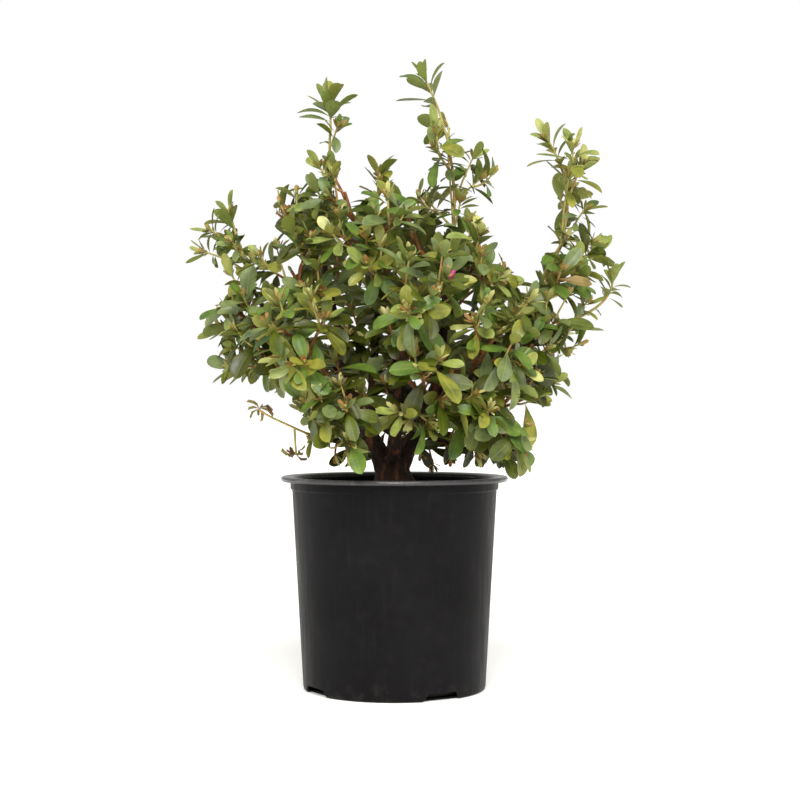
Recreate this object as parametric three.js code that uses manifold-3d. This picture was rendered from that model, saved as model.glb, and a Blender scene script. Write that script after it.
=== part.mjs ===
// Azalea shrub in a two-gallon nursery pot: a short flared trunk, arching boughs and masses of leafy twigs.
// Millimetres, +Z up. The origin is the centre of the pot's flat underside, and the shrub's front faces -Y.
import * as THREE from "three";
import { mergeVertices } from "three/addons/utils/BufferGeometryUtils.js";
import Module from "manifold-3d";

const wasm = await Module();
wasm.setup();

// Pot
const POT_HEIGHT = 215;
const RIM_RADIUS = 115;
const MOUTH_RADIUS = 104;
const BASE_RADIUS = 92.5;
const WALL = 2;
const LIP_DEPTH = 5;
const COLLAR_DEPTH = 14;
const POT_SEGMENTS = 32;
const DRAIN_COUNT = 4;
const DRAIN_FIRST_BEARING = -59;
const DRAIN_WIDTH = 44;
const DRAIN_HEIGHT = 8;
const DRAIN_SLOPE = 0.8;
const DRAIN_INNER_RADIUS = 83;

// Potting mix, and the clearance kept between any two pieces
const SOIL_EDGE = 196;
const SOIL_TOP = 203;
const SOIL_FLAT_RADIUS = 42;
const CLEARANCE = 0.3;

// Trunk, from its flat cut on the potting mix to its fork
const TRUNK_FOOT = SOIL_TOP + CLEARANCE;
const TRUNK_TOP = 231;
const TRUNK_RADIUS = 16;
const TRUNK_LEAN = -3;
const TRUNK_SIDES = 20;
const TRUNK_RINGS = 4;
const FLARE_RADIUS = 25;
const FLARE_POWER = 2.2;
const FLARE_LOBES = 5;
const LOBE_DEPTH = 3.2;
const LOBE_PHASE = 0.6;
const BOUGH_SEAT = 0.45;
const BOUGH_SIDES = 7;
const BOUGH_RINGS = 3;

// Crown, in which a mass's stem leans away from the heart and a little up, and ends past the mass's centre
const UP = new THREE.Vector3(0, 0, 1);
const CROWN_HEART = new THREE.Vector3(0, 0, 300);
const STEM_LIFT = 0.5;
const STEM_OVERSHOOT = 0.4;
const STEM_BEND = 0.6;
const STEM_SAG = 6;
const SPACE_MARGIN = 0.8;
const LIMB_MARGIN = 1;

// Stems and twigs. Each pair goes from a stem's first twig to its last: the twigs' places along the stem,
// their angles to it in degrees, and their lengths as shares of the mass's reach.
const STEM_RADIUS = 2.4;
const TWIG_RADIUS = 2;
const TIP_RADIUS = 1.8;
const TWIG_SIDES = 3;
const STEM_RINGS = 3;
const GOLDEN_ANGLE = 137.5;
const TWIGS_ALONG = [0.42, 0.9];
const WAND_TWIGS_ALONG = [0.12, 0.66];
const TWIG_ANGLES = [66, 40];
const TWIG_LENGTHS = [0.85, 0.6];
const TWIG_SCATTER = 0.2;
const ANGLE_SCATTER = 10;
const BEARING_SCATTER = 28;
const TWIG_UPTURN = 0.2;

// Leaves
const LEAF_LENGTH = 52;
const LEAF_WIDTH = 28;
const LEAF_WIDEST = 0.58;
const LEAF_THICKNESS = 1.3;
const KEEL_SHARE = 0.67;
const LEAF_CURL = 0.14;
const LEAF_DROOP = 0.1;
const LEAF_SCATTER = 0.3;
const PETIOLE_WIDTH = 1.6;
const BLADE_START = 0.2;
const FIRST_LEAF = 2;
const LEAFY_SHARE = 0.8;
const INNER_LEAF_ANGLE = 34;
const LEAF_ANGLE_STEP = 11;
const SIMPLIFY = 0.25;
const LEAF_SEEDS = 500;
const ROOM_ABOVE_RIM = 2;
const ROOM_BESIDE_RIM = 3;

// Boughs: the limb each one springs from and how far along it, where its tip is, its radii at foot and tip,
// and how far its middle hangs below the straight line.
const BOUGHS = [
  { name: "bough_left", on: "trunk", at: 0.8, tip: [-50, -5, 325], radii: [10.5, 6], bow: 10 },
  { name: "bough_right", on: "trunk", at: 0.8, tip: [48, -5, 320], radii: [9.5, 6], bow: 12 },
  { name: "bough_front", on: "trunk", at: 0.85, tip: [4, -60, 288], radii: [7.5, 4.5], bow: 12 },
  { name: "bough_back", on: "trunk", at: 0.85, tip: [0, 60, 296], radii: [8, 4.5], bow: 12 },
  { name: "bough_centre", on: "bough_left", at: 0.42, tip: [-14, -8, 412], radii: [5.5, 3], bow: 0 },
  { name: "bough_left_rise", on: "bough_left", at: 1, tip: [-72, 4, 432], radii: [5.4, 2.8], bow: 6 },
  {
    name: "bough_left_reach", on: "bough_left", at: 0.72,
    tip: [-114, -22, 352], radii: [5.2, 3.2], bow: 12,
  },
  { name: "bough_left_tall", on: "bough_left_reach", at: 0.9, tip: [-146, 4, 410], radii: [3, 2], bow: 8 },
  { name: "bough_left_low", on: "bough_left", at: 0.3, tip: [-84, -48, 258], radii: [3.4, 2.2], bow: 8 },
  { name: "bough_right_rise", on: "bough_right", at: 1, tip: [54, -4, 425], radii: [5.4, 3], bow: 5 },
  {
    name: "bough_right_reach", on: "bough_right", at: 0.72,
    tip: [106, -14, 345], radii: [5.2, 3.4], bow: 12,
  },
  {
    name: "bough_right_tall", on: "bough_right_reach", at: 0.92,
    tip: [144, 4, 404], radii: [3.6, 2.4], bow: 10,
  },
  { name: "bough_right_low", on: "bough_right", at: 0.3, tip: [88, -52, 262], radii: [4, 2.6], bow: 10 },
  { name: "bough_front_rise", on: "bough_front", at: 1, tip: [8, -92, 345], radii: [4, 2.6], bow: 4 },
  {
    name: "bough_front_left", on: "bough_front", at: 0.6,
    tip: [-56, -82, 305], radii: [4.2, 2.8], bow: 10,
  },
  {
    name: "bough_front_right", on: "bough_front", at: 0.75,
    tip: [62, -78, 308], radii: [4.2, 2.8], bow: 10,
  },
  { name: "bough_back_rise", on: "bough_back", at: 1, tip: [0, 82, 378], radii: [4.2, 2.8], bow: 4 },
  { name: "bough_back_left", on: "bough_back", at: 0.6, tip: [-70, 62, 332], radii: [4.6, 3], bow: 10 },
  { name: "bough_back_right", on: "bough_back", at: 0.75, tip: [72, 62, 328], radii: [4.6, 3], bow: 10 },
];

// Masses of foliage: the bough each stem leaves and how far along it, the centre of the mass,
// its reach from there, and its number of side twigs. A wand is a tall thin shoot with a place for its tip.
const MASSES = [
  { name: "mass_crown_top", on: "bough_centre", at: 1, centre: [-46, -32, 478], reach: 54, twigs: 4 },
  { name: "mass_left_peak", on: "bough_left_rise", at: 0.95, centre: [-102, 8, 466], reach: 40, twigs: 3 },
  { name: "mass_front_high", on: "bough_centre", at: 0.88, centre: [-24, -88, 425], reach: 56, twigs: 4 },
  {
    name: "mass_front_centre", on: "bough_front_rise", at: 1,
    centre: [22, -118, 376], reach: 48, twigs: 4,
  },
  { name: "mass_front_left", on: "bough_front_left", at: 1, centre: [-82, -108, 345], reach: 52, twigs: 4 },
  { name: "mass_front_low", on: "bough_front_rise", at: 0.6, centre: [38, -108, 286], reach: 44, twigs: 4 },
  {
    name: "mass_front_low_left", on: "bough_front_left", at: 0.85,
    centre: [-46, -104, 262], reach: 42, twigs: 4,
  },
  {
    name: "mass_front_low_right", on: "bough_right_low", at: 1,
    centre: [92, -92, 268], reach: 44, twigs: 4,
  },
  {
    name: "mass_front_right", on: "bough_front_right", at: 1,
    centre: [86, -102, 340], reach: 48, twigs: 4,
  },
  {
    name: "mass_front_right_high", on: "bough_right_rise", at: 0.85,
    centre: [70, -62, 404], reach: 46, twigs: 4,
  },
  {
    name: "mass_right_high", on: "bough_right_tall", at: 0.5,
    centre: [152, -34, 396], reach: 40, twigs: 4,
  },
  { name: "mass_right", on: "bough_right_reach", at: 1, centre: [146, -36, 348], reach: 46, twigs: 4 },
  { name: "mass_right_low", on: "bough_right_low", at: 0.85, centre: [122, -22, 308], reach: 34, twigs: 3 },
  { name: "mass_left_high", on: "bough_left_rise", at: 0.45, centre: [-92, -66, 402], reach: 46, twigs: 4 },
  { name: "mass_left", on: "bough_left_reach", at: 1, centre: [-146, -22, 370], reach: 46, twigs: 4 },
  {
    name: "mass_left_low", on: "bough_left_reach", at: 0.75,
    centre: [-122, -52, 320], reach: 42, twigs: 3,
  },
  { name: "mass_heart", on: "bough_right", at: 0.9, centre: [12, -38, 350], reach: 40, twigs: 4 },
  { name: "mass_back_top", on: "bough_right_rise", at: 0.95, centre: [12, 56, 454], reach: 52, twigs: 4 },
  {
    name: "mass_back_high_left", on: "bough_left_rise", at: 0.7,
    centre: [-72, 70, 420], reach: 50, twigs: 4,
  },
  {
    name: "mass_back_high_right", on: "bough_right_rise", at: 0.6,
    centre: [72, 62, 394], reach: 50, twigs: 4,
  },
  { name: "mass_back_left", on: "bough_back_left", at: 1, centre: [-122, 66, 352], reach: 50, twigs: 4 },
  { name: "mass_back_right", on: "bough_back_right", at: 1, centre: [124, 66, 348], reach: 50, twigs: 4 },
  { name: "mass_back", on: "bough_back_rise", at: 1, centre: [0, 110, 384], reach: 54, twigs: 4 },
  {
    name: "mass_back_low_left", on: "bough_back_left", at: 0.75,
    centre: [-68, 108, 292], reach: 48, twigs: 4,
  },
  {
    name: "mass_back_low_right", on: "bough_back_right", at: 0.75,
    centre: [70, 108, 288], reach: 48, twigs: 4,
  },
  {
    name: "wand_top", on: "bough_right_rise", at: 1,
    centre: [58, -6, 528], reach: 44, twigs: 4, tip: [30, -6, 618],
  },
  {
    name: "wand_upper_left", on: "bough_left_rise", at: 1,
    centre: [-66, 4, 545], reach: 34, twigs: 2, tip: [-66, 4, 588],
  },
  {
    name: "wand_upper_right", on: "bough_right_tall", at: 1,
    centre: [176, 6, 482], reach: 44, twigs: 4, tip: [156, 2, 556],
  },
  {
    name: "wand_left", on: "bough_left_tall", at: 1,
    centre: [-158, 8, 450], reach: 38, twigs: 3, tip: [-168, 12, 480],
  },
  {
    name: "wand_far_right", on: "bough_right_tall", at: 0.3,
    centre: [196, 4, 380], reach: 32, twigs: 1, tip: [222, 4, 416],
  },
  {
    name: "wand_low_left", on: "bough_left_low", at: 1,
    centre: [-122, -62, 276], reach: 22, twigs: 0, tip: [-132, -64, 284],
  },
];

// Sprays of leaves: how many at most, how far each sits below the tip, their size, and their widest angle.
const whorl = (i) => i * 4;
const upTheWand = (i) => (i < 4 ? i * 4 : 12 + (i - 3) * 11);
const STEM_SPRAY = { count: 5, spacing: whorl, size: 0.95, widest: 88 };
const TWIG_SPRAY = { count: 4, spacing: whorl, size: 0.95, widest: 88 };
const WAND_SPRAY = { count: 10, spacing: upTheWand, size: 0.63, widest: 60 };
const WAND_TWIG_SPRAY = { count: 5, spacing: whorl, size: 0.7, widest: 75 };

// The turns about its twig, in degrees, and the sizes that a leaf tries until it finds room.
const LEAF_TRIES = [
  [0, 1],
  [40, 1],
  [-40, 1],
  [80, 0.9],
  [0, 0.75],
  [-80, 0.75],
];

const MATERIALS = {
  pot: { color: 0x232325, roughness: 0.5 },
  soil: { color: 0x2e2018, roughness: 1 },
  bark: { color: 0x4a3527, roughness: 0.95 },
  foliage: { color: 0x55712f, roughness: 0.55 },
};

// The same sequence of numbers from 0 to 1 for the same seed.
function seededRandom(seed) {
  let state = seed * 7919 + 17;
  return () => {
    state = (state * 48271) % 2147483647;
    return state / 2147483647;
  };
}

function toSolid(geometry) {
  const bare = geometry.index ? geometry.clone() : geometry;
  bare.deleteAttribute("normal");
  bare.deleteAttribute("uv");
  const merged = mergeVertices(bare, 1e-4);
  return new wasm.Manifold(
    new wasm.Mesh({
      numProp: 3,
      vertProperties: merged.getAttribute("position").array,
      triVerts: new Uint32Array(merged.index.array),
    }),
  );
}

function toGeometry(solid) {
  const mesh = solid.getMesh();
  return new THREE.BufferGeometry()
    .setAttribute("position", new THREE.BufferAttribute(new Float32Array(mesh.vertProperties), 3))
    .setIndex(new THREE.BufferAttribute(new Uint32Array(mesh.triVerts), 1));
}

// The largest body of a solid: loose scraps go, and sealed hollows are filled.
function mainBody(solid) {
  return solid.decompose().reduce((best, body) => (body.volume() > best.volume() ? body : best));
}

// Carries each vertex of a unit cylinder or cone to place(share along it, section x, section y).
function sweep(unit, place) {
  const position = unit.getAttribute("position");
  const vertex = new THREE.Vector3();
  for (let i = 0; i < position.count; i += 1) {
    vertex.fromBufferAttribute(position, i);
    const placed = place(vertex.y + 0.5, vertex.x, vertex.z);
    position.setXYZ(i, placed.x, placed.y, placed.z);
  }
  return toSolid(unit);
}

// A curve's own frame: the point, the direction along it, and two directions across it.
function frameAt(curve, t) {
  const along = curve.getTangent(t);
  const bend = new THREE.Vector3()
    .subVectors(curve.v1, curve.v0)
    .cross(new THREE.Vector3().subVectors(curve.v2, curve.v0));
  const binormal = bend.lengthSq() > 1e-3 ? bend.normalize() : perpendicular(along);
  const normal = new THREE.Vector3().crossVectors(along, binormal).normalize();
  return { point: curve.getPoint(t), along, normal, binormal };
}

function perpendicular(direction) {
  const helper = Math.abs(direction.z) < 0.9 ? UP : new THREE.Vector3(1, 0, 0);
  return new THREE.Vector3().crossVectors(direction, helper).normalize();
}

function radiusAt(limb, t) {
  return THREE.MathUtils.lerp(limb.radii[0], limb.radii[1], t);
}

// A tapering limb along its curve, grown all over by extra.
function limbSolid(limb, sides, rings, extra = 0) {
  return sweep(new THREE.CylinderGeometry(1, 1, 1, sides, rings), (t, x, y) => {
    const { point, along, normal, binormal } = frameAt(limb.curve, t);
    const radius = radiusAt(limb, t) + extra;
    const overrun = t === 0 ? -extra : t === 1 ? extra : 0;
    return point
      .addScaledVector(normal, x * radius)
      .addScaledVector(binormal, y * radius)
      .addScaledVector(along, overrun);
  });
}

// The trunk is round at its fork and spreads into root lobes at its foot.
function trunkSolid(extra = 0) {
  return sweep(new THREE.CylinderGeometry(1, 1, 1, TRUNK_SIDES, TRUNK_RINGS), (t, x, y) => {
    const bearing = Math.atan2(y, x);
    const spread = (1 - t) ** FLARE_POWER;
    const lobe = LOBE_DEPTH * spread * Math.cos(FLARE_LOBES * bearing + LOBE_PHASE);
    const radius = TRUNK_RADIUS + (FLARE_RADIUS - TRUNK_RADIUS) * spread + lobe + extra;
    const overrun = t === 1 ? extra : 0;
    return new THREE.Vector3(
      x * radius + TRUNK_LEAN * t,
      -y * radius,
      THREE.MathUtils.lerp(TRUNK_FOOT, TRUNK_TOP, t) + overrun,
    );
  });
}

function bowedCurve(start, end, bow) {
  const middle = start.clone().lerp(end, 0.5).addScaledVector(UP, -bow);
  return new THREE.QuadraticBezierCurve3(start, middle, end);
}

// Where a limb springs: on the trunk's axis a little towards the limb's own tip, or on its parent's axis.
function springPoint(limbs, spec, tip) {
  if (spec.on !== "trunk") return limbs.get(spec.on).curve.getPoint(spec.at);
  const outward = new THREE.Vector3(tip.x, tip.y, 0).setLength(TRUNK_RADIUS * BOUGH_SEAT);
  const height = THREE.MathUtils.lerp(TRUNK_FOOT, TRUNK_TOP, spec.at);
  return new THREE.Vector3(TRUNK_LEAN * spec.at + outward.x, outward.y, height);
}

function layOutBoughs() {
  const limbs = new Map();
  for (const spec of BOUGHS) {
    const tip = new THREE.Vector3(...spec.tip);
    limbs.set(spec.name, {
      name: spec.name,
      curve: bowedCurve(springPoint(limbs, spec, tip), tip, spec.bow),
      radii: spec.radii,
    });
  }
  return limbs;
}

// Shortest distance between the segments a-b and c-d.
function segmentDistance(a, b, c, d) {
  const u = new THREE.Vector3().subVectors(b, a);
  const v = new THREE.Vector3().subVectors(d, c);
  const w = new THREE.Vector3().subVectors(a, c);
  const uu = u.dot(u);
  const vv = v.dot(v);
  const uv = u.dot(v);
  const spread = uu * vv - uv * uv;
  let s = spread > 1e-6 ? (uv * v.dot(w) - vv * u.dot(w)) / spread : 0;
  s = THREE.MathUtils.clamp(s, 0, 1);
  const t = THREE.MathUtils.clamp((uv * s + v.dot(w)) / vv, 0, 1);
  s = THREE.MathUtils.clamp((uv * t - u.dot(w)) / uu, 0, 1);
  return a.clone().addScaledVector(u, s).distanceTo(c.clone().addScaledVector(v, t));
}

// True if the segment a-b, as thick as room, comes too near a limb.
function touchesLimb(limb, a, b, room) {
  const steps = 5;
  const points = limb.curve.getPoints(steps);
  return points.slice(1).some((end, i) => {
    const reach = radiusAt(limb, i / steps) + room + LIMB_MARGIN;
    return segmentDistance(a, b, points[i], end) < reach;
  });
}

// True if a point is in the mass's own space: nearer its centre, for its reach, than any other mass's.
function inOwnSpace(mass, masses, point, room) {
  const own = point.distanceToSquared(mass.centre) - mass.reach ** 2;
  return masses.every((other) => {
    if (other === mass) return true;
    const theirs = point.distanceToSquared(other.centre) - other.reach ** 2;
    return (theirs - own) / (2 * mass.centre.distanceTo(other.centre)) > room + SPACE_MARGIN;
  });
}

function clearOfPot(point) {
  const out = Math.hypot(point.x, point.y);
  const aboveRim = point.z > POT_HEIGHT + ROOM_ABOVE_RIM;
  return aboveRim || out > RIM_RADIUS + ROOM_BESIDE_RIM;
}

// A direction that leaves the frame's by an angle, turned about it to a bearing, both in degrees.
function turnedOut(frame, angle, bearing) {
  const polar = THREE.MathUtils.degToRad(angle);
  const turn = THREE.MathUtils.degToRad(bearing);
  return frame.along
    .clone()
    .multiplyScalar(Math.cos(polar))
    .addScaledVector(frame.normal, Math.sin(polar) * Math.cos(turn))
    .addScaledVector(frame.binormal, Math.sin(polar) * Math.sin(turn));
}

// Where the middle of a curve's net goes for the curve to pass halfway through a point.
function middleThrough(start, halfway, end) {
  return halfway.clone().multiplyScalar(2).sub(start.clone().lerp(end, 0.5));
}

// A mass's stem goes from its bough to the far side of the mass, leaning outwards and up, or to a wand's tip.
function layOutMasses(limbs) {
  return MASSES.map((spec, index) => {
    const centre = new THREE.Vector3(...spec.centre);
    const start = limbs.get(spec.on).curve.getPoint(spec.at);
    const fromHeart = centre.clone().sub(CROWN_HEART).normalize();
    const outward = fromHeart.addScaledVector(UP, STEM_LIFT).normalize();
    const farSide = centre.clone().addScaledVector(outward, spec.reach * STEM_OVERSHOOT);
    const end = spec.tip ? new THREE.Vector3(...spec.tip) : farSide;
    const middle = spec.tip
      ? middleThrough(start, centre, end)
      : start.clone().lerp(centre, STEM_BEND).addScaledVector(UP, -STEM_SAG);
    const stem = {
      name: spec.name,
      curve: new THREE.QuadraticBezierCurve3(start, middle, end),
      radii: [STEM_RADIUS, TIP_RADIUS],
    };
    return { ...spec, centre, stem, seed: index + 1 };
  });
}

// Side twigs leave the stem in a spiral, shorter and closer to it towards its tip, and turn up a little.
function growTwigs(mass) {
  const random = seededRandom(mass.seed);
  const scattered = (value, scatter) => value + scatter * (random() - 0.5);
  const phase = random() * 360;
  return Array.from({ length: mass.twigs }, (_, i) => {
    const between = (pair) => THREE.MathUtils.lerp(...pair, (i + 0.5) / mass.twigs);
    const frame = frameAt(mass.stem.curve, between(mass.tip ? WAND_TWIGS_ALONG : TWIGS_ALONG));
    const angle = scattered(between(TWIG_ANGLES), ANGLE_SCATTER);
    const bearing = scattered(phase + GOLDEN_ANGLE * i, BEARING_SCATTER);
    const length = mass.reach * scattered(between(TWIG_LENGTHS), TWIG_SCATTER);
    const end = frame.point
      .clone()
      .addScaledVector(turnedOut(frame, angle, bearing), length)
      .addScaledVector(UP, length * TWIG_UPTURN);
    return { curve: bowedCurve(frame.point, end, 0), radii: [TWIG_RADIUS, TIP_RADIUS] };
  });
}

// One leaf, rooted on a twig's axis.
function leafAt(frame, angle, bearing, size) {
  const direction = turnedOut(frame, angle, bearing).addScaledVector(UP, -LEAF_DROOP).normalize();
  const face = frame.along.clone().addScaledVector(direction, -frame.along.dot(direction)).normalize();
  return {
    root: frame.point,
    direction,
    face,
    across: new THREE.Vector3().crossVectors(face, direction),
    length: LEAF_LENGTH * size,
    width: LEAF_WIDTH * size,
  };
}

// Leaves round a twig: a whorl at its tip, opening wider down the twig, with a few set apart below it.
// A leaf that finds no room is turned about the twig, then made smaller, and skipped if it still has none.
function growLeaves(twig, spray, random, findsRoom) {
  const scattered = (value, scatter) => value + scatter * (random() - 0.5);
  const phase = random() * 360;
  const length = twig.curve.getLength();
  for (let i = 0; i < spray.count; i += 1) {
    const below = FIRST_LEAF + spray.spacing(i);
    if (below > length * LEAFY_SHARE) break;
    const frame = frameAt(twig.curve, 1 - below / length);
    const angle = scattered(Math.min(spray.widest, INNER_LEAF_ANGLE + LEAF_ANGLE_STEP * i), ANGLE_SCATTER);
    const bearing = phase + GOLDEN_ANGLE * i;
    const size = scattered(spray.size, LEAF_SCATTER);
    LEAF_TRIES.some(([turn, shrink]) => findsRoom(leafAt(frame, angle, bearing + turn, size * shrink)));
  }
}

// A point of a leaf: share along it, and from -1 at one edge to 1 at the other.
function leafPoint(leaf, t, edge) {
  const width =
    t < LEAF_WIDEST
      ? THREE.MathUtils.lerp(PETIOLE_WIDTH, leaf.width, t / LEAF_WIDEST)
      : (leaf.width * (1 - t)) / (1 - LEAF_WIDEST);
  return leaf.root
    .clone()
    .addScaledVector(leaf.direction, leaf.length * t)
    .addScaledVector(leaf.face, -leaf.length * LEAF_CURL * t * t)
    .addScaledVector(leaf.across, (width / 2) * edge);
}

// A leaf is a three-sided cone of two rings, flat on its face and keeled under its midrib.
// A leaf that starts at a share of its length is the blade alone, without its root.
function leafSolid(leaf, from = 0) {
  const edgeOfUnit = Math.sin(Math.PI / 3);
  return sweep(new THREE.ConeGeometry(1, 1, 3, 2), (t, x, y) => {
    const ring = Math.max(1 - t, 1e-6);
    const edge = t > 0.99 ? 0 : x / ring / edgeOfUnit;
    const keel = t > 0.99 ? 0 : y / ring;
    const share = [from, LEAF_WIDEST, 1][Math.round(t * 2)];
    return leafPoint(leaf, share, edge).addScaledVector(leaf.face, -keel * LEAF_THICKNESS * KEEL_SHARE);
  });
}

function leafFits(leaf, mass, masses, limbs) {
  const tip = leafPoint(leaf, 1, 0);
  const outline = [leafPoint(leaf, LEAF_WIDEST, -1), leafPoint(leaf, LEAF_WIDEST, 1), tip];
  return (
    outline.every((point) => inOwnSpace(mass, masses, point, LEAF_THICKNESS) && clearOfPot(point)) &&
    !limbs.some((limb) => touchesLimb(limb, leaf.root, tip, leaf.width / 2))
  );
}

function twigFits(twig, mass, masses, limbs) {
  const points = twig.curve.getPoints(2);
  return (
    points.every((point) => inOwnSpace(mass, masses, point, TWIG_RADIUS) && clearOfPot(point)) &&
    !limbs.some(
      (limb) =>
        touchesLimb(limb, points[0], points[1], TWIG_RADIUS) ||
        touchesLimb(limb, points[1], points[2], TWIG_RADIUS),
    )
  );
}

// One mass: its stem, with the twigs and leaves that fit its space, fused, and cut clear of the limbs.
function massSolid(mass, masses, limbs, grownLimbs) {
  const random = seededRandom(mass.seed + LEAF_SEEDS);
  const otherStems = masses.filter((other) => other !== mass).map((other) => other.stem);
  const strangers = [...limbs.values(), ...otherStems];
  const twigs = growTwigs(mass).filter((twig) => twigFits(twig, mass, masses, strangers));
  const stem = limbSolid(mass.stem, TWIG_SIDES, STEM_RINGS);
  const woody = [stem, ...twigs.map((twig) => limbSolid(twig, TWIG_SIDES, 1))];
  const kept = [];
  const findsRoom = (leaf) => {
    if (!leafFits(leaf, mass, masses, strangers)) return false;
    const blade = leafSolid(leaf, BLADE_START);
    const near = kept.filter((other) => other.leaf.root.distanceTo(leaf.root) < LEAF_LENGTH * 2);
    const crosses = (solid) => !blade.intersect(solid).isEmpty();
    if (near.some((other) => crosses(other.blade)) || woody.some(crosses)) return false;
    kept.push({ leaf, blade });
    return true;
  };
  growLeaves(mass.stem, mass.tip ? WAND_SPRAY : STEM_SPRAY, random, findsRoom);
  for (const twig of twigs) growLeaves(twig, mass.tip ? WAND_TWIG_SPRAY : TWIG_SPRAY, random, findsRoom);
  const fused = [...woody, ...kept.map(({ leaf }) => leafSolid(leaf))].reduce((a, b) => a.add(b));
  return mainBody(fused.subtract(grownLimbs)).asOriginal().simplify(SIMPLIFY);
}

// The pot's profile goes from the middle of its underside up the outside, over the lip and down the inside.
function potSolid() {
  const lipUnder = POT_HEIGHT - LIP_DEPTH;
  const collar = POT_HEIGHT - COLLAR_DEPTH;
  const profile = [
    [0, 0],
    [BASE_RADIUS - 2.5, 0],
    [BASE_RADIUS, 3.5],
    [MOUTH_RADIUS - 0.4, collar],
    [MOUTH_RADIUS + 1.4, collar + 1.5],
    [MOUTH_RADIUS + 1.4, lipUnder - 1],
    [RIM_RADIUS - 2, lipUnder],
    [RIM_RADIUS, lipUnder + 1.8],
    [RIM_RADIUS - 1.6, POT_HEIGHT],
    [MOUTH_RADIUS + 1.5, POT_HEIGHT - 0.4],
    [MOUTH_RADIUS - 0.4 - WALL, POT_HEIGHT - 4],
    [MOUTH_RADIUS - 0.4 - WALL, collar],
    [BASE_RADIUS - WALL, 3.5],
    [BASE_RADIUS - WALL, WALL],
    [0, WALL],
  ].map(([x, y]) => new THREE.Vector2(x, y));
  const turned = new THREE.LatheGeometry(profile, POT_SEGMENTS).rotateX(Math.PI / 2);
  return drainNotches().reduce((pot, notch) => pot.subtract(notch), toSolid(turned));
}

// Drain notches round the foot: sloping-sided blocks that take out the corner of wall and base.
function drainNotches() {
  const outline = new THREE.Shape();
  outline.moveTo(-DRAIN_WIDTH / 2, -1);
  outline.lineTo(DRAIN_WIDTH / 2, -1);
  outline.lineTo(DRAIN_WIDTH / 2 - DRAIN_HEIGHT * DRAIN_SLOPE, DRAIN_HEIGHT);
  outline.lineTo(-DRAIN_WIDTH / 2 + DRAIN_HEIGHT * DRAIN_SLOPE, DRAIN_HEIGHT);
  const depth = RIM_RADIUS - DRAIN_INNER_RADIUS;
  return Array.from({ length: DRAIN_COUNT }, (_, i) => {
    const bearing = DRAIN_FIRST_BEARING + (360 / DRAIN_COUNT) * i;
    const block = new THREE.ExtrudeGeometry(outline, { depth, bevelEnabled: false })
      .rotateX(Math.PI / 2)
      .translate(0, -DRAIN_INNER_RADIUS, 0)
      .rotateZ(THREE.MathUtils.degToRad(bearing));
    return toSolid(block);
  });
}

// The potting mix fills the pot's inside to a little below the lip and is mounded towards the trunk.
function soilSolid() {
  const inset = WALL + CLEARANCE;
  const profile = [
    [0, WALL + CLEARANCE],
    [BASE_RADIUS - inset, WALL + CLEARANCE],
    [BASE_RADIUS - inset, 3.5],
    [MOUTH_RADIUS - 1 - inset, SOIL_EDGE],
    [SOIL_FLAT_RADIUS, SOIL_TOP],
    [0, SOIL_TOP],
  ].map(([x, y]) => new THREE.Vector2(x, y));
  return toSolid(new THREE.LatheGeometry(profile, POT_SEGMENTS).rotateX(Math.PI / 2));
}

function named(name, solid, finish) {
  const material = new THREE.MeshStandardMaterial({ ...MATERIALS[finish], metalness: 0 });
  const mesh = new THREE.Mesh(toGeometry(solid), material);
  mesh.name = name;
  return mesh;
}

const shrub = new THREE.Group();
shrub.add(named("pot", potSolid(), "pot"));
shrub.add(named("potting_mix", soilSolid(), "soil"));
shrub.add(named("trunk", trunkSolid(), "bark"));

// Each bough is cut clear of the trunk and of the boughs before it, so that it seats on its own limb.
const limbs = layOutBoughs();
let grownLimbs = trunkSolid(CLEARANCE);
for (const limb of limbs.values()) {
  const bough = limbSolid(limb, BOUGH_SIDES, BOUGH_RINGS).subtract(grownLimbs);
  shrub.add(named(limb.name, mainBody(bough), "bark"));
  grownLimbs = grownLimbs.add(limbSolid(limb, BOUGH_SIDES, BOUGH_RINGS, CLEARANCE));
}

const masses = layOutMasses(limbs);
for (const mass of masses) {
  shrub.add(named(mass.name, massSolid(mass, masses, limbs, grownLimbs), "foliage"));
  grownLimbs = grownLimbs.add(limbSolid(mass.stem, TWIG_SIDES, STEM_RINGS, CLEARANCE));
}

export default shrub;
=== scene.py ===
"""The looks of the azalea in its nursery pot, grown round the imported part.

Lengths are in millimetres, as in the part's source, until a mesh is made in metres.
"""
import math
from collections import namedtuple

import bmesh
import bpy
import numpy as np
from mathutils import Euler, Matrix, Vector, noise


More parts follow.
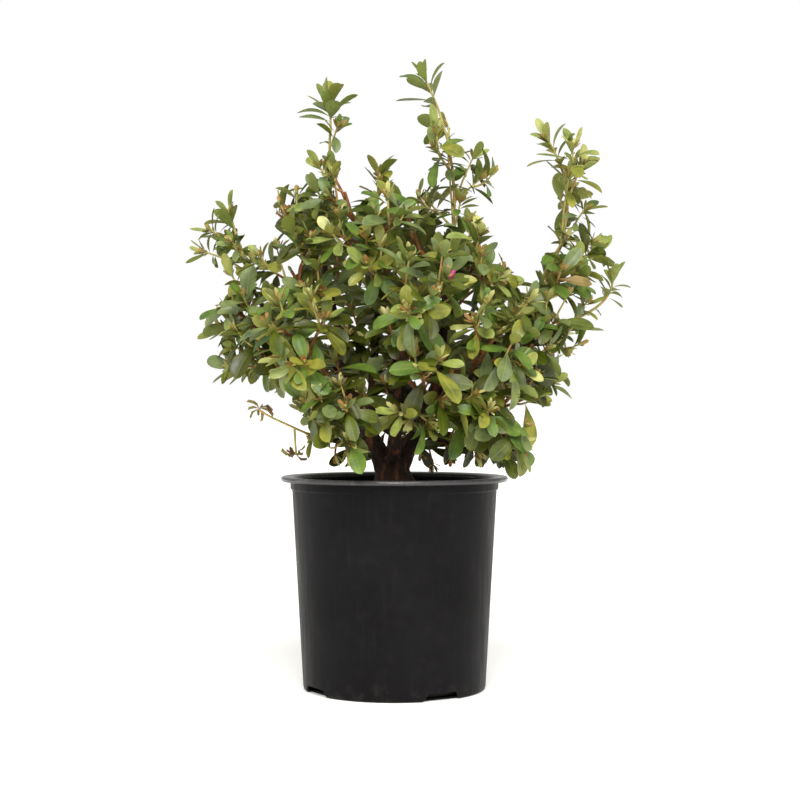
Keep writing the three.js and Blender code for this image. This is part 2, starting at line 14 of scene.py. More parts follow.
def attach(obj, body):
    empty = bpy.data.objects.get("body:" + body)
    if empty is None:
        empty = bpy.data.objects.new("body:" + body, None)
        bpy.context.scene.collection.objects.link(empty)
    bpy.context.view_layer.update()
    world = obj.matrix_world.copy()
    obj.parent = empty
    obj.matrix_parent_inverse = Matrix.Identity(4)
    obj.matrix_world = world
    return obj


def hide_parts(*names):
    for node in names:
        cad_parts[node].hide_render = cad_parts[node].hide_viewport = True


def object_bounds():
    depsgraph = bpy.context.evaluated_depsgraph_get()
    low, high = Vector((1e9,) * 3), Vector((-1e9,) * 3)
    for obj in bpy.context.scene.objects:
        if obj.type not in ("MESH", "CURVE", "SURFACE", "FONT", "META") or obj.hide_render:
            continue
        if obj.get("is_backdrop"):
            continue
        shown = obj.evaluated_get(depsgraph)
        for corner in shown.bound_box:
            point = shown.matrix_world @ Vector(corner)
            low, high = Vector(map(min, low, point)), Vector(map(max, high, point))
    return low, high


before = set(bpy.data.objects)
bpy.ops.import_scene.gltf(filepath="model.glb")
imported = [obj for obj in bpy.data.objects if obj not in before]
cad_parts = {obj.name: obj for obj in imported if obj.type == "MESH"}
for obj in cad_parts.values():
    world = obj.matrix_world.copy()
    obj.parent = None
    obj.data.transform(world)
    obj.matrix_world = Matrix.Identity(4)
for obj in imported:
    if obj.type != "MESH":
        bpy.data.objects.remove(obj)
cad_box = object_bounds()

MM = 0.001
CAMERA = np.array([5.6, -1750.0, 292.0])
CAMERA_LENS = 77.58
SENSOR_WIDTH = 36
UP = np.array([0.0, 0.0, 1.0])

Limb = namedtuple("Limb", "curve radii")
Mass = namedtuple("Mass", "name centre reach twigs wand stem seed")
Place = namedtuple("Place", "point along normal binormal")
Spray = namedtuple("Spray", "count opening widest spacing size spread inner lower gap lower_size shrink "
                   "slender shade mottle", defaults=(1, 3, 24, 0, 0, 1, 0.25, 1, 0, 1))
Leaf = namedtuple("Leaf", "root direction face length width curl fold twist")
SmallLeaf = namedtuple("SmallLeaf", "tone angle width curl fold twist droop", defaults=(0, 0))
Template = namedtuple("Template", "points corners starts uv")

# Pot
POT_HEIGHT = 215
RIM_RADIUS = 115
MOUTH_RADIUS = 104
BASE_RADIUS = 92.5
WALL = 2
LIP_UNDER = 210
LIP_ROLL = 2.6
LIP_ROLL_STEPS = 12
COLLAR_FOOT = 201
POT_PROFILE = [
    (0, 0),
    (BASE_RADIUS - 3, 0),
    (BASE_RADIUS - 0.6, 1.2),
    (BASE_RADIUS, 4),
    (MOUTH_RADIUS - 0.4, COLLAR_FOOT),
    (MOUTH_RADIUS + 1.4, COLLAR_FOOT + 1.6),
    (MOUTH_RADIUS + 1.5, LIP_UNDER - 1),
    *(
        (RIM_RADIUS - LIP_ROLL * (1 - math.cos(turn)), POT_HEIGHT - LIP_ROLL * (1 - math.sin(turn)))
        for turn in (math.pi * (i / LIP_ROLL_STEPS - 0.5) for i in range(LIP_ROLL_STEPS + 1))
    ),
    (MOUTH_RADIUS + 1.5, POT_HEIGHT - 0.4),
    (MOUTH_RADIUS - 1.4, POT_HEIGHT - 1.6),
    (MOUTH_RADIUS - 2.4, POT_HEIGHT - 4),
    (MOUTH_RADIUS - 2.4, COLLAR_FOOT),
    (BASE_RADIUS - WALL, 4),
    (BASE_RADIUS - WALL - 1, WALL),
    (0, WALL),
]
POT_STEPS = 144
POT_EDGE_ANGLE = 20
POT_SMOOTH_ANGLE = 38
POT_ROUNDING = 0.7
DRAIN_BEARINGS = (-59, 31, 121, 211)
DRAIN_WIDTH = 44
DRAIN_HEIGHT = 8
DRAIN_SLOPE = 0.8
DRAIN_INNER_RADIUS = 83
# The lip's band of heights: glossier, and lighter grey from scuffs and a painted highlight
LIP_SCUFF_AND_HIGHLIGHT = (209.5 * MM, 212 * MM)
DUST_REACH = 22 * MM

# Trunk, which goes on a little way down into the potting mix
TRUNK_FOOT = 203.3
TRUNK_TOP = 231
TRUNK_BURIED = 6
TRUNK_RADIUS = 16
TRUNK_LEAN = -3
FLARE_RADIUS = 25
FLARE_POWER = 2.2
FLARE_LOBES = 5
LOBE_DEPTH = 3.2
LOBE_PHASE = 0.6
BOUGH_SEAT = 0.45
TRUNK_SIDES = 64
TRUNK_RINGS = 34
TRUNK_RELIEF = 1.3
TRUNK_TOP_ROUNDING = 0.5

# Potting mix: its profile from the middle of its top, over the edge, to the middle of its bottom
SOIL_SHARES = (0, 0.35, 0.8, 0.88, 0.92, 1)
SOIL_RADII = (0, 42, 100.4, 90.6, 81, 0)
SOIL_HEIGHTS = (203, 203, 196, 11, 2.3, 2.3)
SOIL_SIDES = 120
SOIL_RINGS = 60
SOIL_LUMP = 1.4
LUMP_WIDTH = 9
CRUMB_WIDTH = 3.4
CRUMB_SHARE = 0.5
LEVEL_ROUND_TRUNK = 12
# Heights over which the potting mix's painted shade fades from near black at its foot
PAINTED_SHADE_FADE = (12 * MM, 60 * MM)
CHIP_COUNT = 900
CHIP_SEED = 5
CHIP_SIZES = (1.6, 5.5)
CHIP_REACH = (FLARE_RADIUS + 2, 97)
CHIP_WIDTH = 0.45
CHIP_WIDTH_SPREAD = 0.4
CHIP_THICKNESS = 0.3
CHIP_TILT = 0.7
CHIP_LIFT = 0.1

# Bark, and the boughs' sway and the collar where each springs
BARK_SIDES = 30
BARK_RING = 1.3
BARK_VOXEL = 1.15
BARK_RIDGES = 2.6
RIDGE_LENGTH = 16
FLAKE_LENGTH = 5
FLAKE_SHARE = 0.45
RELIEF_SHARE = 0.13
BOUGH_SWAY = 2.4
SWAY_LENGTH = 30
SWAY_SEED_STEP = 7.3
COLLAR_SWELL = 0.22
COLLAR_STEEPNESS = 6

# Crown: a mass's stem leans away from the heart and a little up, and ends past the mass's centre
CROWN_HEART = np.array([0.0, 0.0, 300.0])
STEM_LIFT = 0.5
STEM_OVERSHOOT = 0.4
STEM_BEND = 0.6
STEM_SAG = 6

# Stems, twigs and shoots. Each pair goes from the foot of a limb to its tip.
STEM_RADII = (2.6, 1.6)
WAND_RADII = (2.1, 1.1)
WITHERED_RADII = (1.3, 0.9)
TWIG_RADII = (1.9, 1.2)
SHOOT_RADII = (1.35, 0.9)
GOLDEN_ANGLE = 137.5
TWIGS_ALONG = (0.42, 0.9)
WAND_TWIGS_ALONG = (0.12, 0.66)
TWIG_ANGLES = (66, 40)
TWIG_LENGTHS = (0.85, 0.6)
TWIG_SCATTER = 0.2
ANGLE_SCATTER = 10
BEARING_SCATTER = 28
TWIG_UPTURN = 0.2
SHOOTS_PER_TWIG = 2
SHOOTS_PER_WAND_TWIG = 1
BIG_WAND_REACH = 40
SHOOTS_PER_BOUGH = 3
LEAFY_BOUGH_RADIUS = 3.5
SHOOTS_ALONG = (0.45, 0.9)
SHOOT_ANGLES = (52, 38)
SHOOT_LENGTHS = (27, 20)
BOUGH_SHOOT_LENGTHS = (40, 28)
SHOOT_UPTURN = 0.25
REACH_FOR_LIGHT = 0.45
SHOOT_ARCH = 6
TWIG_SWAY = 0.9
TWIG_SWAY_SEED_STEP = 3.7
TWIG_STEP = 6
TWIG_SMOOTH_ANGLE = 60

# Seeds of what grows by the finer rule. Each mass, shoot or bough adds its number in its list.
MASS_LEAF_SEED = 500
HANGING_SEED = 700
STAR_SEED = 800
BOUGH_SHOOT_SEED = 900

# Boughs and twigs sway by Blender's noise vectors, which differ from run to run unless they have a seed
SWAY_SEED = 1

# Leaves: their size, their shape from foot to tip, and how each one differs. Fold and twist are a value and
# its scatter. Leaves at a whorl's heart curl less, and its first and last ones are a tone off the rest.
LEAF_LENGTH = 40
LEAF_WIDTH = 16
LEAF_ROWS = (0, 0.06, 0.15, 0.29, 0.44, 0.59, 0.73, 0.86, 0.95, 1)
LEAF_OUTLINE = (0, 0.08, 0.22, 0.54, 0.83, 0.98, 1, 0.8, 0.45, 0)
SMALL_LEAF_ROWS = (0, 0.15, 0.5, 0.85, 1)
LEAF_BODY = 0.04
LEAF_SMOOTH_ANGLE = 70
SIZE_SCATTER = 0.45
WIDTH_SCATTER = 0.3
OPENING_SCATTER = 16
TURN_SCATTER = 18
CURL = 0.55
CURL_LOST_AT_HEART = 0.5
CURL_SCATTER = 0.8
FOLD = (0.26, 0.36)
TWIST = (0, 0.8)
HEART_LEAVES = 3
YOUNG_LEAVES = 2
LAST_MIDDLE_LEAF = 4
FIRST_LEAF = 1.5
LEAFY_SHARE = 0.85

# Sprays: a whorl's leaves from the tip down. Each opens wider by a step, up to the widest, and the lower ones
# stand apart by a gap. Those at the heart shrink. Shade deepens a whorl's tone, and mottle scatters it.
STEM_SPRAY = Spray(count=6, opening=11, widest=92, spacing=1.8, lower=2, gap=12)
TWIG_SPRAY = Spray(count=5, opening=12, widest=92, spacing=1.7, lower=1, gap=11)
SHOOT_SPRAY = Spray(count=5, opening=12, widest=95, spacing=1.6, size=0.92)
WAND_SPRAY = Spray(count=12, opening=4.8, widest=62, spacing=3.2, size=1.05, spread=2, inner=16, lower=4,
                   gap=14, lower_size=0.6, slender=0.88, shade=-0.09, mottle=0.4)
WAND_TWIG_SPRAY = Spray(count=6, opening=10, widest=92, spacing=2, inner=22, shrink=0.2, slender=0.9,
                        shade=-0.07, mottle=0.5)
STAR_SPRAY = Spray(count=10, opening=8, widest=100, spacing=1.3, size=0.86, inner=36, lower=2, gap=9,
                   lower_size=0.8, shrink=0.15, slender=0.8, shade=-0.06, mottle=0.5)
# The hanging shoots sit low under the crown. Their shade is painted shade that deepens their tone.
HANGING_SPRAY = Spray(count=8, opening=9, widest=80, spacing=3.5, size=0.72, shrink=0, shade=0.34, mottle=0.6)

# Where along a leaf its room is tested, and how low it may hang over the pot, beside its rim, and before the
# trunk, which the photo shows
LEAF_SPINE = (0, 0.5, 1)
LOWEST_LEAF = 219
LOWEST_BESIDE_RIM = 207
TRUNK_VIEW = (-16, 22)
TRUNK_VIEW_TOP = 256

# Where the photo shows sky beside the crown and through it, as its camera sees it at the depth of the pot's
# axis: the x and z of each window, and its half width and half height
SKY_WINDOWS = [
    (-141, 495, 20, 46),
    (-111, 524, 18, 14),
    (-45, 531, 11, 39),
    (14, 515, 12, 24),
    (18, 562, 18, 16),
    (78, 592, 28, 34),
    (119, 515, 14, 34),
    (131, 456, 26, 36),
    (151, 495, 14, 34),
    (206, 320, 24, 34),
    (174, 251, 30, 36),
    (-161, 280, 38, 26),
    (-111, 251, 20, 34),
    (124, 284, 9, 13),
    (-74, 231, 14, 16),
    (-202, 404, 24, 26),
    (73, 390, 8, 10),
    (168, 385, 9, 12),
    (-106, 425, 12, 12),
    (36, 298, 7, 10),
]

# Small shoots that hang beside the trunk: the bough, how far along it, and the shoot's tip
HANGING_SHOOTS = [
    ("bough_right_low", 0.1, (26, -34, 240)),
    ("bough_right_low", 0.2, (38, -26, 229)),
    ("bough_right_low", 0.45, (56, -46, 237)),
    ("bough_right_low", 0.7, (80, -66, 243)),
    ("bough_right_low", 0.95, (106, -78, 244)),
    ("bough_left_low", 0.35, (-42, -40, 236)),
    ("bough_left_low", 0.55, (-58, -62, 239)),
    ("bough_back", 0.35, (8, 42, 254)),
    ("bough_back", 0.5, (-14, 40, 262)),
]

# Shoots with a wide whorl, where the photo shows one: the limb, how far along it, and the shoot's tip
STAR_SHOOTS = [
    ("wand_top", 0.2, (54, -16, 538)),
    ("wand_top", 0.3, (79, -4, 536)),
    ("wand_top", 0.04, (66, -12, 490)),
    ("wand_upper_right", 0.3, (176, -6, 516)),
    ("wand_upper_right", 0.12, (192, -4, 484)),
    ("wand_upper_right", 0.02, (170, -12, 452)),
    ("wand_upper_right", 0.04, (198, -4, 450)),
    ("wand_left", 0.3, (-186, 4, 464)),
    ("wand_left", 0.12, (-192, 4, 442)),
    ("bough_left", 0.95, (-48, -30, 356)),
    ("bough_centre", 0.35, (-26, -32, 348)),
]

# From the bottom of the crown to its top, leaves grow smaller and droop less
LOW_AND_HIGH = (235, 440)
LEAF_SIZES = (1.06, 0.84)
LEAF_DROOPS = (0.75, 0.04)
BRONZE_SHARE = 0.02

# How fresh a whorl is: more so far out in the crown and high up, as new growth is. It is deeper at the heart,
# where leaves are older and painted shade darkens them, and fresher to the right by painted light.
CROWN_SIZE = np.array([200.0, 150.0, 200.0])
CROWN_HEIGHT = 400
FRESH_AND_LIT_AT_HEART = -0.4
FRESH_AND_LIT_OUTWARD = 0.84
PAINTED_LIGHT_TO_RIGHT = 0.15
FRESH_UPWARD = 0.05
FRESH_SCATTER = 0.72

# New leaves, scales and buds in the middle of a whorl, and dry leaves. The lengths of scales and dry leaves,
# and each pair in a kind of small leaf, are a value and its scatter.
TUFT_SHARE = 0.65
TUFT_LEAVES = 7
TUFT_SIZES = (8, 19)
TUFT_LEAF = SmallLeaf("young", angle=(30, 36), width=0.3, curl=(0.1, 0.6), fold=0.4, twist=(0, 0.5))
SCALE_COUNT = 5
SCALE_LENGTH = (11, 4)
SCALE_LEAF = SmallLeaf("scale", angle=(48, 40), width=0.42, curl=-0.5, fold=0.3)
WITHERED_COUNT = 9
WITHERED_LENGTH = (15, 9)
WITHERED_SPACING = 0.015
WITHERED_LEAF = SmallLeaf("withered", angle=(58, 60), width=0.42, curl=(1.4, 1.2), fold=0.8, twist=(0, 1.5),
                          droop=0.1)
BUD_SIZE = (7, 2.1)
BUD_TAPER = 0.3
MAGENTA_BUD_SEEN = (42, 412)
MAGENTA_BUD_FRONT = -80
MAGENTA_BUD_SIZE = (16, 5)

# Boughs: name, the limb it springs from and how far along it, its tip, its radii at foot and tip, its bow
BOUGHS = [
    ("bough_left", "trunk", 0.8, (-50, -5, 325), (10.5, 6), 10),
    ("bough_right", "trunk", 0.8, (48, -5, 320), (9.5, 6), 12),
    ("bough_front", "trunk", 0.85, (4, -60, 288), (7.5, 4.5), 12),
    ("bough_back", "trunk", 0.85, (0, 60, 296), (8, 4.5), 12),
    ("bough_centre", "bough_left", 0.42, (-14, -8, 412), (5.5, 3), 0),
    ("bough_left_rise", "bough_left", 1, (-72, 4, 432), (5.4, 2.8), 6),
    ("bough_left_reach", "bough_left", 0.72, (-114, -22, 352), (5.2, 3.2), 12),
    ("bough_left_tall", "bough_left_reach", 0.9, (-146, 4, 410), (3, 2), 8),
    ("bough_left_low", "bough_left", 0.3, (-84, -48, 258), (3.4, 2.2), 8),
    ("bough_right_rise", "bough_right", 1, (54, -4, 425), (5.4, 3), 5),
    ("bough_right_reach", "bough_right", 0.72, (106, -14, 345), (5.2, 3.4), 12),
    ("bough_right_tall", "bough_right_reach", 0.92, (144, 4, 404), (3.6, 2.4), 10),
    ("bough_right_low", "bough_right", 0.3, (88, -52, 262), (4, 2.6), 10),
    ("bough_front_rise", "bough_front", 1, (8, -92, 345), (4, 2.6), 4),
    ("bough_front_left", "bough_front", 0.6, (-56, -82, 305), (4.2, 2.8), 10),
    ("bough_front_right", "bough_front", 0.75, (62, -78, 308), (4.2, 2.8), 10),
    ("bough_back_rise", "bough_back", 1, (0, 82, 378), (4.2, 2.8), 4),
    ("bough_back_left", "bough_back", 0.6, (-70, 62, 332), (4.6, 3), 10),
    ("bough_back_right", "bough_back", 0.75, (72, 62, 328), (4.6, 3), 10),
]

# Masses: name, the bough its stem leaves and how far along it, centre, reach, and number of side twigs
MASSES = [
    ("mass_crown_top", "bough_centre", 1, (-46, -32, 478), 54, 4),
    ("mass_left_peak", "bough_left_rise", 0.95, (-102, 8, 466), 40, 3),
    ("mass_front_high", "bough_centre", 0.88, (-24, -88, 425), 56, 4),
    ("mass_front_centre", "bough_front_rise", 1, (22, -118, 376), 48, 4),
    ("mass_front_left", "bough_front_left", 1, (-82, -108, 345), 52, 4),
    ("mass_front_low", "bough_front_rise", 0.6, (38, -108, 286), 44, 4),
    ("mass_front_low_left", "bough_front_left", 0.85, (-46, -104, 262), 42, 4),
    ("mass_front_low_right", "bough_right_low", 1, (92, -92, 268), 44, 4),
    ("mass_front_right", "bough_front_right", 1, (86, -102, 340), 48, 4),
    ("mass_front_right_high", "bough_right_rise", 0.85, (70, -62, 404), 46, 4),
    ("mass_right_high", "bough_right_tall", 0.5, (152, -34, 396), 40, 4),
    ("mass_right", "bough_right_reach", 1, (146, -36, 348), 46, 4),
    ("mass_right_low", "bough_right_low", 0.85, (122, -22, 308), 34, 3),
    ("mass_left_high", "bough_left_rise", 0.45, (-92, -66, 402), 46, 4),
    ("mass_left", "bough_left_reach", 1, (-146, -22, 370), 46, 4),
    ("mass_left_low", "bough_left_reach", 0.75, (-122, -52, 320), 42, 3),
    ("mass_heart", "bough_right", 0.9, (12, -38, 350), 40, 4),
    ("mass_back_top", "bough_right_rise", 0.95, (12, 56, 454), 52, 4),
    ("mass_back_high_left", "bough_left_rise", 0.7, (-72, 70, 420), 50, 4),
    ("mass_back_high_right", "bough_right_rise", 0.6, (72, 62, 394), 50, 4),
    ("mass_back_left", "bough_back_left", 1, (-122, 66, 352), 50, 4),
    ("mass_back_right", "bough_back_right", 1, (124, 66, 348), 50, 4),
    ("mass_back", "bough_back_rise", 1, (0, 110, 384), 54, 4),
    ("mass_back_low_left", "bough_back_left", 0.75, (-68, 108, 292), 48, 4),
    ("mass_back_low_right", "bough_back_right", 0.75, (70, 108, 288), 48, 4),
    ("wand_top", "bough_right_rise", 1, (58, -6, 528), 44, 4),
    ("wand_upper_left", "bough_left_rise", 1, (-66, 4, 545), 34, 2),
    ("wand_upper_right", "bough_right_tall", 1, (176, 6, 482), 44, 4),
    ("wand_left", "bough_left_tall", 1, (-158, 8, 450), 38, 3),
    ("wand_far_right", "bough_right_tall", 0.3, (196, 4, 380), 32, 1),
    ("wand_low_left", "bough_left_low", 1, (-122, -62, 276), 22, 0),
]

# Wands: the stem's tip, how large the leaves are at it and on its twigs, and their seed. The withered wand's
# leaves have their own sizes.
WANDS = {
    "wand_top": ((30, -6, 618), 0.95, 1.05, 1226),
    "wand_upper_left": ((-66, 4, 588), 1.05, 0.75, 2577),
    "wand_upper_right": ((156, 2, 556), 0.95, 1.0, 528),
    "wand_left": ((-168, 12, 480), 0.9, 0.65, 3679),
    "wand_far_right": ((222, 4, 416), 0.7, 0.65, 830),
    "wand_low_left": ((-132, -64, 284), None, None, 531),
}
WITHERED_WAND = "wand_low_left"
WITHERED_FORK = (0.15, (-96, -60, 238))

# Leaf colours from the deepest, for old leaves and painted shade low and inside, to the freshest, and their
# ribs. A whorl takes one of them.
BLADE_TONES = {
    "deep": ("#393f05", "#5e6826"),
    "dark": ("#4b560c", "#727e35"),
    "sage": ("#637140", "#85925f"),
    "mid": ("#556e24", "#7a8d48"),
    "olive": ("#797c2b", "#9c9f56"),
    "fresh": ("#7f8c43", "#a6ae6b"),
    "bright": ("#a0a45c", "#c0c48a"),
}
SMALL_TONES = {
    "young": ("#a8a662", "#c4c48e"),
    "scale": ("#98723c", "#b08e56"),
    "bronze": ("#7b6834", "#98854e"),
    "withered": ("#6a4a30", "#7d5c3e"),
}
TONES = {**BLADE_TONES, **SMALL_TONES}

# Lights: kind, name, strength, place, the height on the pot's axis that it faces, and settings, in metres
STRIP = {"shape": "RECTANGLE", "size": 0.3, "size_y": 1.2}
LIGHTS = [
    ("SUN", "key", 3.45, (0.12, -2.1, 2.4), 0.35, {"angle": math.radians(44), "color": (1, 0.97, 0.91)}),
    ("AREA", "left_strip", 1.5, (-1.2, 0.4, 0.5), 0.15, STRIP),
    ("AREA", "right_strip", 0.3, (1.2, 0.4, 0.5), 0.15, STRIP),
    ("AREA", "front_box", 14, (-0.05, -2.3, 1.3), 0.25, {"shape": "RECTANGLE", "size": 0.45, "size_y": 0.6}),
]
ROOM_COLOUR = (1, 0.99, 0.96, 1)
ROOM_STRENGTH = 0.53
FLOOR_RADIUS = 40
FLOOR_GLOW = 0.22


def lerp(first, last, share):
    return first + (last - first) * share


def unit(vector):
    return vector / np.linalg.norm(vector)


def seeded_random(seed):
    """The same numbers from 0 to 1 as the part's source draws for this seed."""
    state = seed * 7919 + 17

    def draw():
        nonlocal state
        state = state * 48271 % 2147483647
        return state / 2147483647

    return draw


def scatterer(random):
    return lambda value, scatter: value + scatter * (random() - 0.5)


def bezier(curve, share):
    start, middle, end = curve
    rest = 1 - share
    return rest * rest * start + 2 * rest * share * middle + share * share * end


def curve_length(curve):
    points = np.array([bezier(curve, share) for share in np.linspace(0, 1, 9)])
    return np.linalg.norm(np.diff(points, axis=0), axis=1).sum()


def frame_at(curve, share):
    """A curve's point, its direction there, and two directions across it."""
    start, middle, end = curve
    along = unit(lerp(middle - start, end - middle, share))
    bend = np.cross(middle - start, end - start)
    if bend @ bend <= 1e-3:
        helper = UP if abs(along[2]) < 0.9 else np.array([1.0, 0.0, 0.0])
        bend = np.cross(along, helper)
    binormal = unit(bend)
    return Place(bezier(curve, share), along, np.cross(along, binormal), binormal)


def turned_out(place, angle, bearing):
    """A direction that leaves the curve's own by an angle, turned about it to a bearing, in degrees."""
    polar = math.radians(angle)
    turn = math.radians(bearing)
    across = place.normal * math.cos(turn) + place.binormal * math.sin(turn)
    return place.along * math.cos(polar) + across * math.sin(polar)


def spring_point(limbs, on, at, tip):
    """Where a bough springs: beside the trunk's axis towards its own tip, or on its parent's axis."""
    if on != "trunk":
        return bezier(limbs[on].curve, at)
    outward = unit(tip * (1, 1, 0)) * TRUNK_RADIUS * BOUGH_SEAT
    return outward + (TRUNK_LEAN * at, 0, lerp(TRUNK_FOOT, TRUNK_TOP, at))


def lay_out_boughs():
    limbs = {}
    for name, on, at, tip, radii, bow in BOUGHS:
        tip = np.array(tip, float)
        start = spring_point(limbs, on, at, tip)
        limbs[name] = Limb((start, (start + tip) / 2 - UP * bow, tip), radii)
    return limbs


def lay_out_masses(limbs):
    """Each mass's stem goes from its bough to the far side of the mass, or to the tip of a wand."""
    masses = []
    for seed, (name, on, at, centre, reach, twigs) in enumerate(MASSES, 1):
        centre = np.array(centre, float)
        start = bezier(limbs[on].curve, at)
        wand = name in WANDS
        if wand:
            end = np.array(WANDS[name][0], float)
            middle = 2 * centre - (start + end) / 2
        else:
            outward = unit(unit(centre - CROWN_HEART) + STEM_LIFT * UP)
            end = centre + outward * reach * STEM_OVERSHOOT
            middle = lerp(start, centre, STEM_BEND) - UP * STEM_SAG
        masses.append(Mass(name, centre, reach, twigs, wand, (start, middle, end), seed))
    return masses


def spiral(curve, along, angles, count, random):
    """For each of some side shoots round a curve: its share of the way, its foot and its direction."""
    scattered = scatterer(random)
    phase = random() * 360
    for i in range(count):
        share = (i + 0.5) / count
        place = frame_at(curve, lerp(*along, share))
        angle = scattered(lerp(*angles, share), ANGLE_SCATTER)
        bearing = scattered(phase + GOLDEN_ANGLE * i, BEARING_SCATTER)
        yield share, place.point, turned_out(place, angle, bearing)


def grow_twigs(mass):
    """The part's own rule: twigs leave the stem in a spiral, shorter and closer to it towards its tip."""
    random = seeded_random(mass.seed)
    scattered = scatterer(random)
    along = WAND_TWIGS_ALONG if mass.wand else TWIGS_ALONG
    twigs = []
    for share, start, out in spiral(mass.stem, along, TWIG_ANGLES, mass.twigs, random):
        length = mass.reach * scattered(lerp(*TWIG_LENGTHS, share), TWIG_SCATTER)
        end = start + out * length + UP * length * TWIG_UPTURN
        if not in_sky(end):
            twigs.append((start, (start + end) / 2, end))
    return twigs


def grow_shoots(twig, count, lengths, random):
    """The rule carried one step finer: shoots fork off a twig and bend out of the crown, to the light."""
    scattered = scatterer(random)
    shoots = []
    for share, start, out in spiral(twig, SHOOTS_ALONG, SHOOT_ANGLES, count, random):
        length = lerp(*lengths, share) * scattered(1, TWIG_SCATTER)
        light = unit(unit(start - CROWN_HEART) + UP * STEM_LIFT)
        end = start + unit(out + light * REACH_FOR_LIGHT) * length + UP * length * SHOOT_UPTURN
        if not in_sky(end):
            shoots.append((start, start + out * length / 2, end))
    return shoots


class Crown:
    """What the masses grow: twigs by their wood, leaves by their tone, buds, and the places of the tips."""

    def __init__(self):
        self.twigs = {"woody": [], "young": []}
        self.leaves = {tone: [] for tone in TONES}
        self.buds = []
        self.tips = []

    def add_leaf(self, tone, place, angle, bearing, length, width, curl, fold, twist, droop=0):
        direction = unit(turned_out(place, angle, bearing) - UP * droop)
        face = unit(place.along - direction * (place.along @ direction))
        leaf = Leaf(place.point, direction, face, length, width, curl, fold, twist)
        if has_room(leaf, tone):
            self.leaves[tone].append(leaf)

    def add_small_leaf(self, kind, place, bearing, length, scattered):
        """A new leaf, scale or dry leaf. What its kind gives as a pair is drawn."""
        angle, curl, twist = (scattered(*value) if isinstance(value, tuple) else value
                              for value in (kind.angle, kind.curl, kind.twist))
        width = length * kind.width
        self.add_leaf(kind.tone, place, angle, bearing, length, width, curl, kind.fold, twist, kind.droop)


def seen_from_camera(point):
    """A point's x and z, carried along the camera's line of sight to the depth of the pot's axis."""
    offset = point - CAMERA
    return CAMERA[[0, 2]] + offset[[0, 2]] * -CAMERA[1] / offset[1]


def lowest_height(point):
    """How low a leaf may hang at a place: before the trunk, over the pot, or beside its rim."""
    if TRUNK_VIEW[0] < point[0] < TRUNK_VIEW[1] and point[1] < 0:
        return TRUNK_VIEW_TOP
    return LOWEST_LEAF if abs(point[0]) < RIM_RADIUS else LOWEST_BESIDE_RIM


def in_sky(point):
    x, z = seen_from_camera(point)
    return any(((x - a) / wide) ** 2 + ((z - b) / high) ** 2 < 1 for a, b, wide, high in SKY_WINDOWS)


def has_room(leaf, tone):
    """True if a leaf is above the pot, and leaves the trunk and the photo's open sky in view."""
    for share in LEAF_SPINE:
        point = leaf.root + leaf.direction * leaf.length * share - UP * leaf.length * leaf.curl * share / 3
        if point[2] < lowest_height(point) or (tone != "withered" and in_sky(point)):
            return False
    return True


def spray_tone(tip, spray, random):
    """A whorl's place in the leaf colours: fresher far out and high up, lighter to the right by painted
    light, and deeper inside by age and painted shade.
    """
    height = (tip[2] - POT_HEIGHT) / CROWN_HEIGHT
    outness = min(1, np.linalg.norm((tip - CROWN_HEART) / CROWN_SIZE))
    fresh = FRESH_AND_LIT_AT_HEART + FRESH_AND_LIT_OUTWARD * outness + FRESH_UPWARD * height - spray.shade
    # Painted light: whorls right of the heart get a lighter tone.
    fresh += PAINTED_LIGHT_TO_RIGHT * max(0, tip[0] - CROWN_HEART[0]) / CROWN_SIZE[0]
    return int((fresh + FRESH_SCATTER * spray.mottle * (random() - 0.5)) * len(BLADE_TONES))


def grow_spray(crown, curve, spray, random, scale=1):
    """A whorl of leaves at a twig's tip, opening wider down the twig, and a few set apart below it."""
    scattered = scatterer(random)
    names = list(BLADE_TONES)
    tone = spray_tone(curve[2], spray, random)
    high = np.clip(np.interp(curve[2][2], LOW_AND_HIGH, (0, 1)), 0, 1)
    length = curve_length(curve)
    phase = random() * 360
    count = spray.count + int(random() * spray.spread)
    for i in range(count + spray.lower):
        below = FIRST_LEAF + spray.spacing * min(i, count) + spray.gap * max(i - count + 1, 0)
        if below > length * LEAFY_SHARE:
            break
        place = frame_at(curve, 1 - below / length)
        inner = max(0, 1 - i / HEART_LEAVES)
        size = scattered(spray.size, SIZE_SCATTER) * lerp(*LEAF_SIZES, high) * (1 - spray.shrink * inner)
        size *= scale * (spray.lower_size if i >= count else 1)
        old = i >= count - 1 and random() < BRONZE_SHARE
        age = (i < YOUNG_LEAVES) - (i > LAST_MIDDLE_LEAF)
        crown.add_leaf(
            tone="bronze" if old else names[int(np.clip(tone + age, 0, len(names) - 1))],
            place=place,
            angle=scattered(min(spray.widest, spray.inner + spray.opening * i), OPENING_SCATTER),
            bearing=scattered(phase + GOLDEN_ANGLE * i, TURN_SCATTER),
            length=LEAF_LENGTH * size,
            width=LEAF_WIDTH * size * spray.slender * scattered(1, WIDTH_SCATTER),
            curl=scattered(CURL - CURL_LOST_AT_HEART * inner, CURL_SCATTER),
            fold=scattered(*FOLD),
            twist=scattered(*TWIST),
            droop=lerp(*LEAF_DROOPS, high),
        )
    tip = frame_at(curve, 1)
    crown.tips.append(tip)
    grow_tip(crown, tip, scale, random)


def grow_tip(crown, place, scale, random):
    """In the middle of a whorl: a tuft of new leaves, or a closed bud, with brown scales round its foot."""
    scattered = scatterer(random)
    phase = random() * 360
    if random() < TUFT_SHARE:
        for i in range(TUFT_LEAVES):
            length = lerp(*TUFT_SIZES, random()) * scale
            crown.add_small_leaf(TUFT_LEAF, place, phase + GOLDEN_ANGLE * i, length, scattered)
    else:
        crown.buds.append((place, *BUD_SIZE))
    for i in range(SCALE_COUNT):
        length = scattered(*SCALE_LENGTH)
        crown.add_small_leaf(SCALE_LEAF, place, phase + GOLDEN_ANGLE * i, length, scattered)


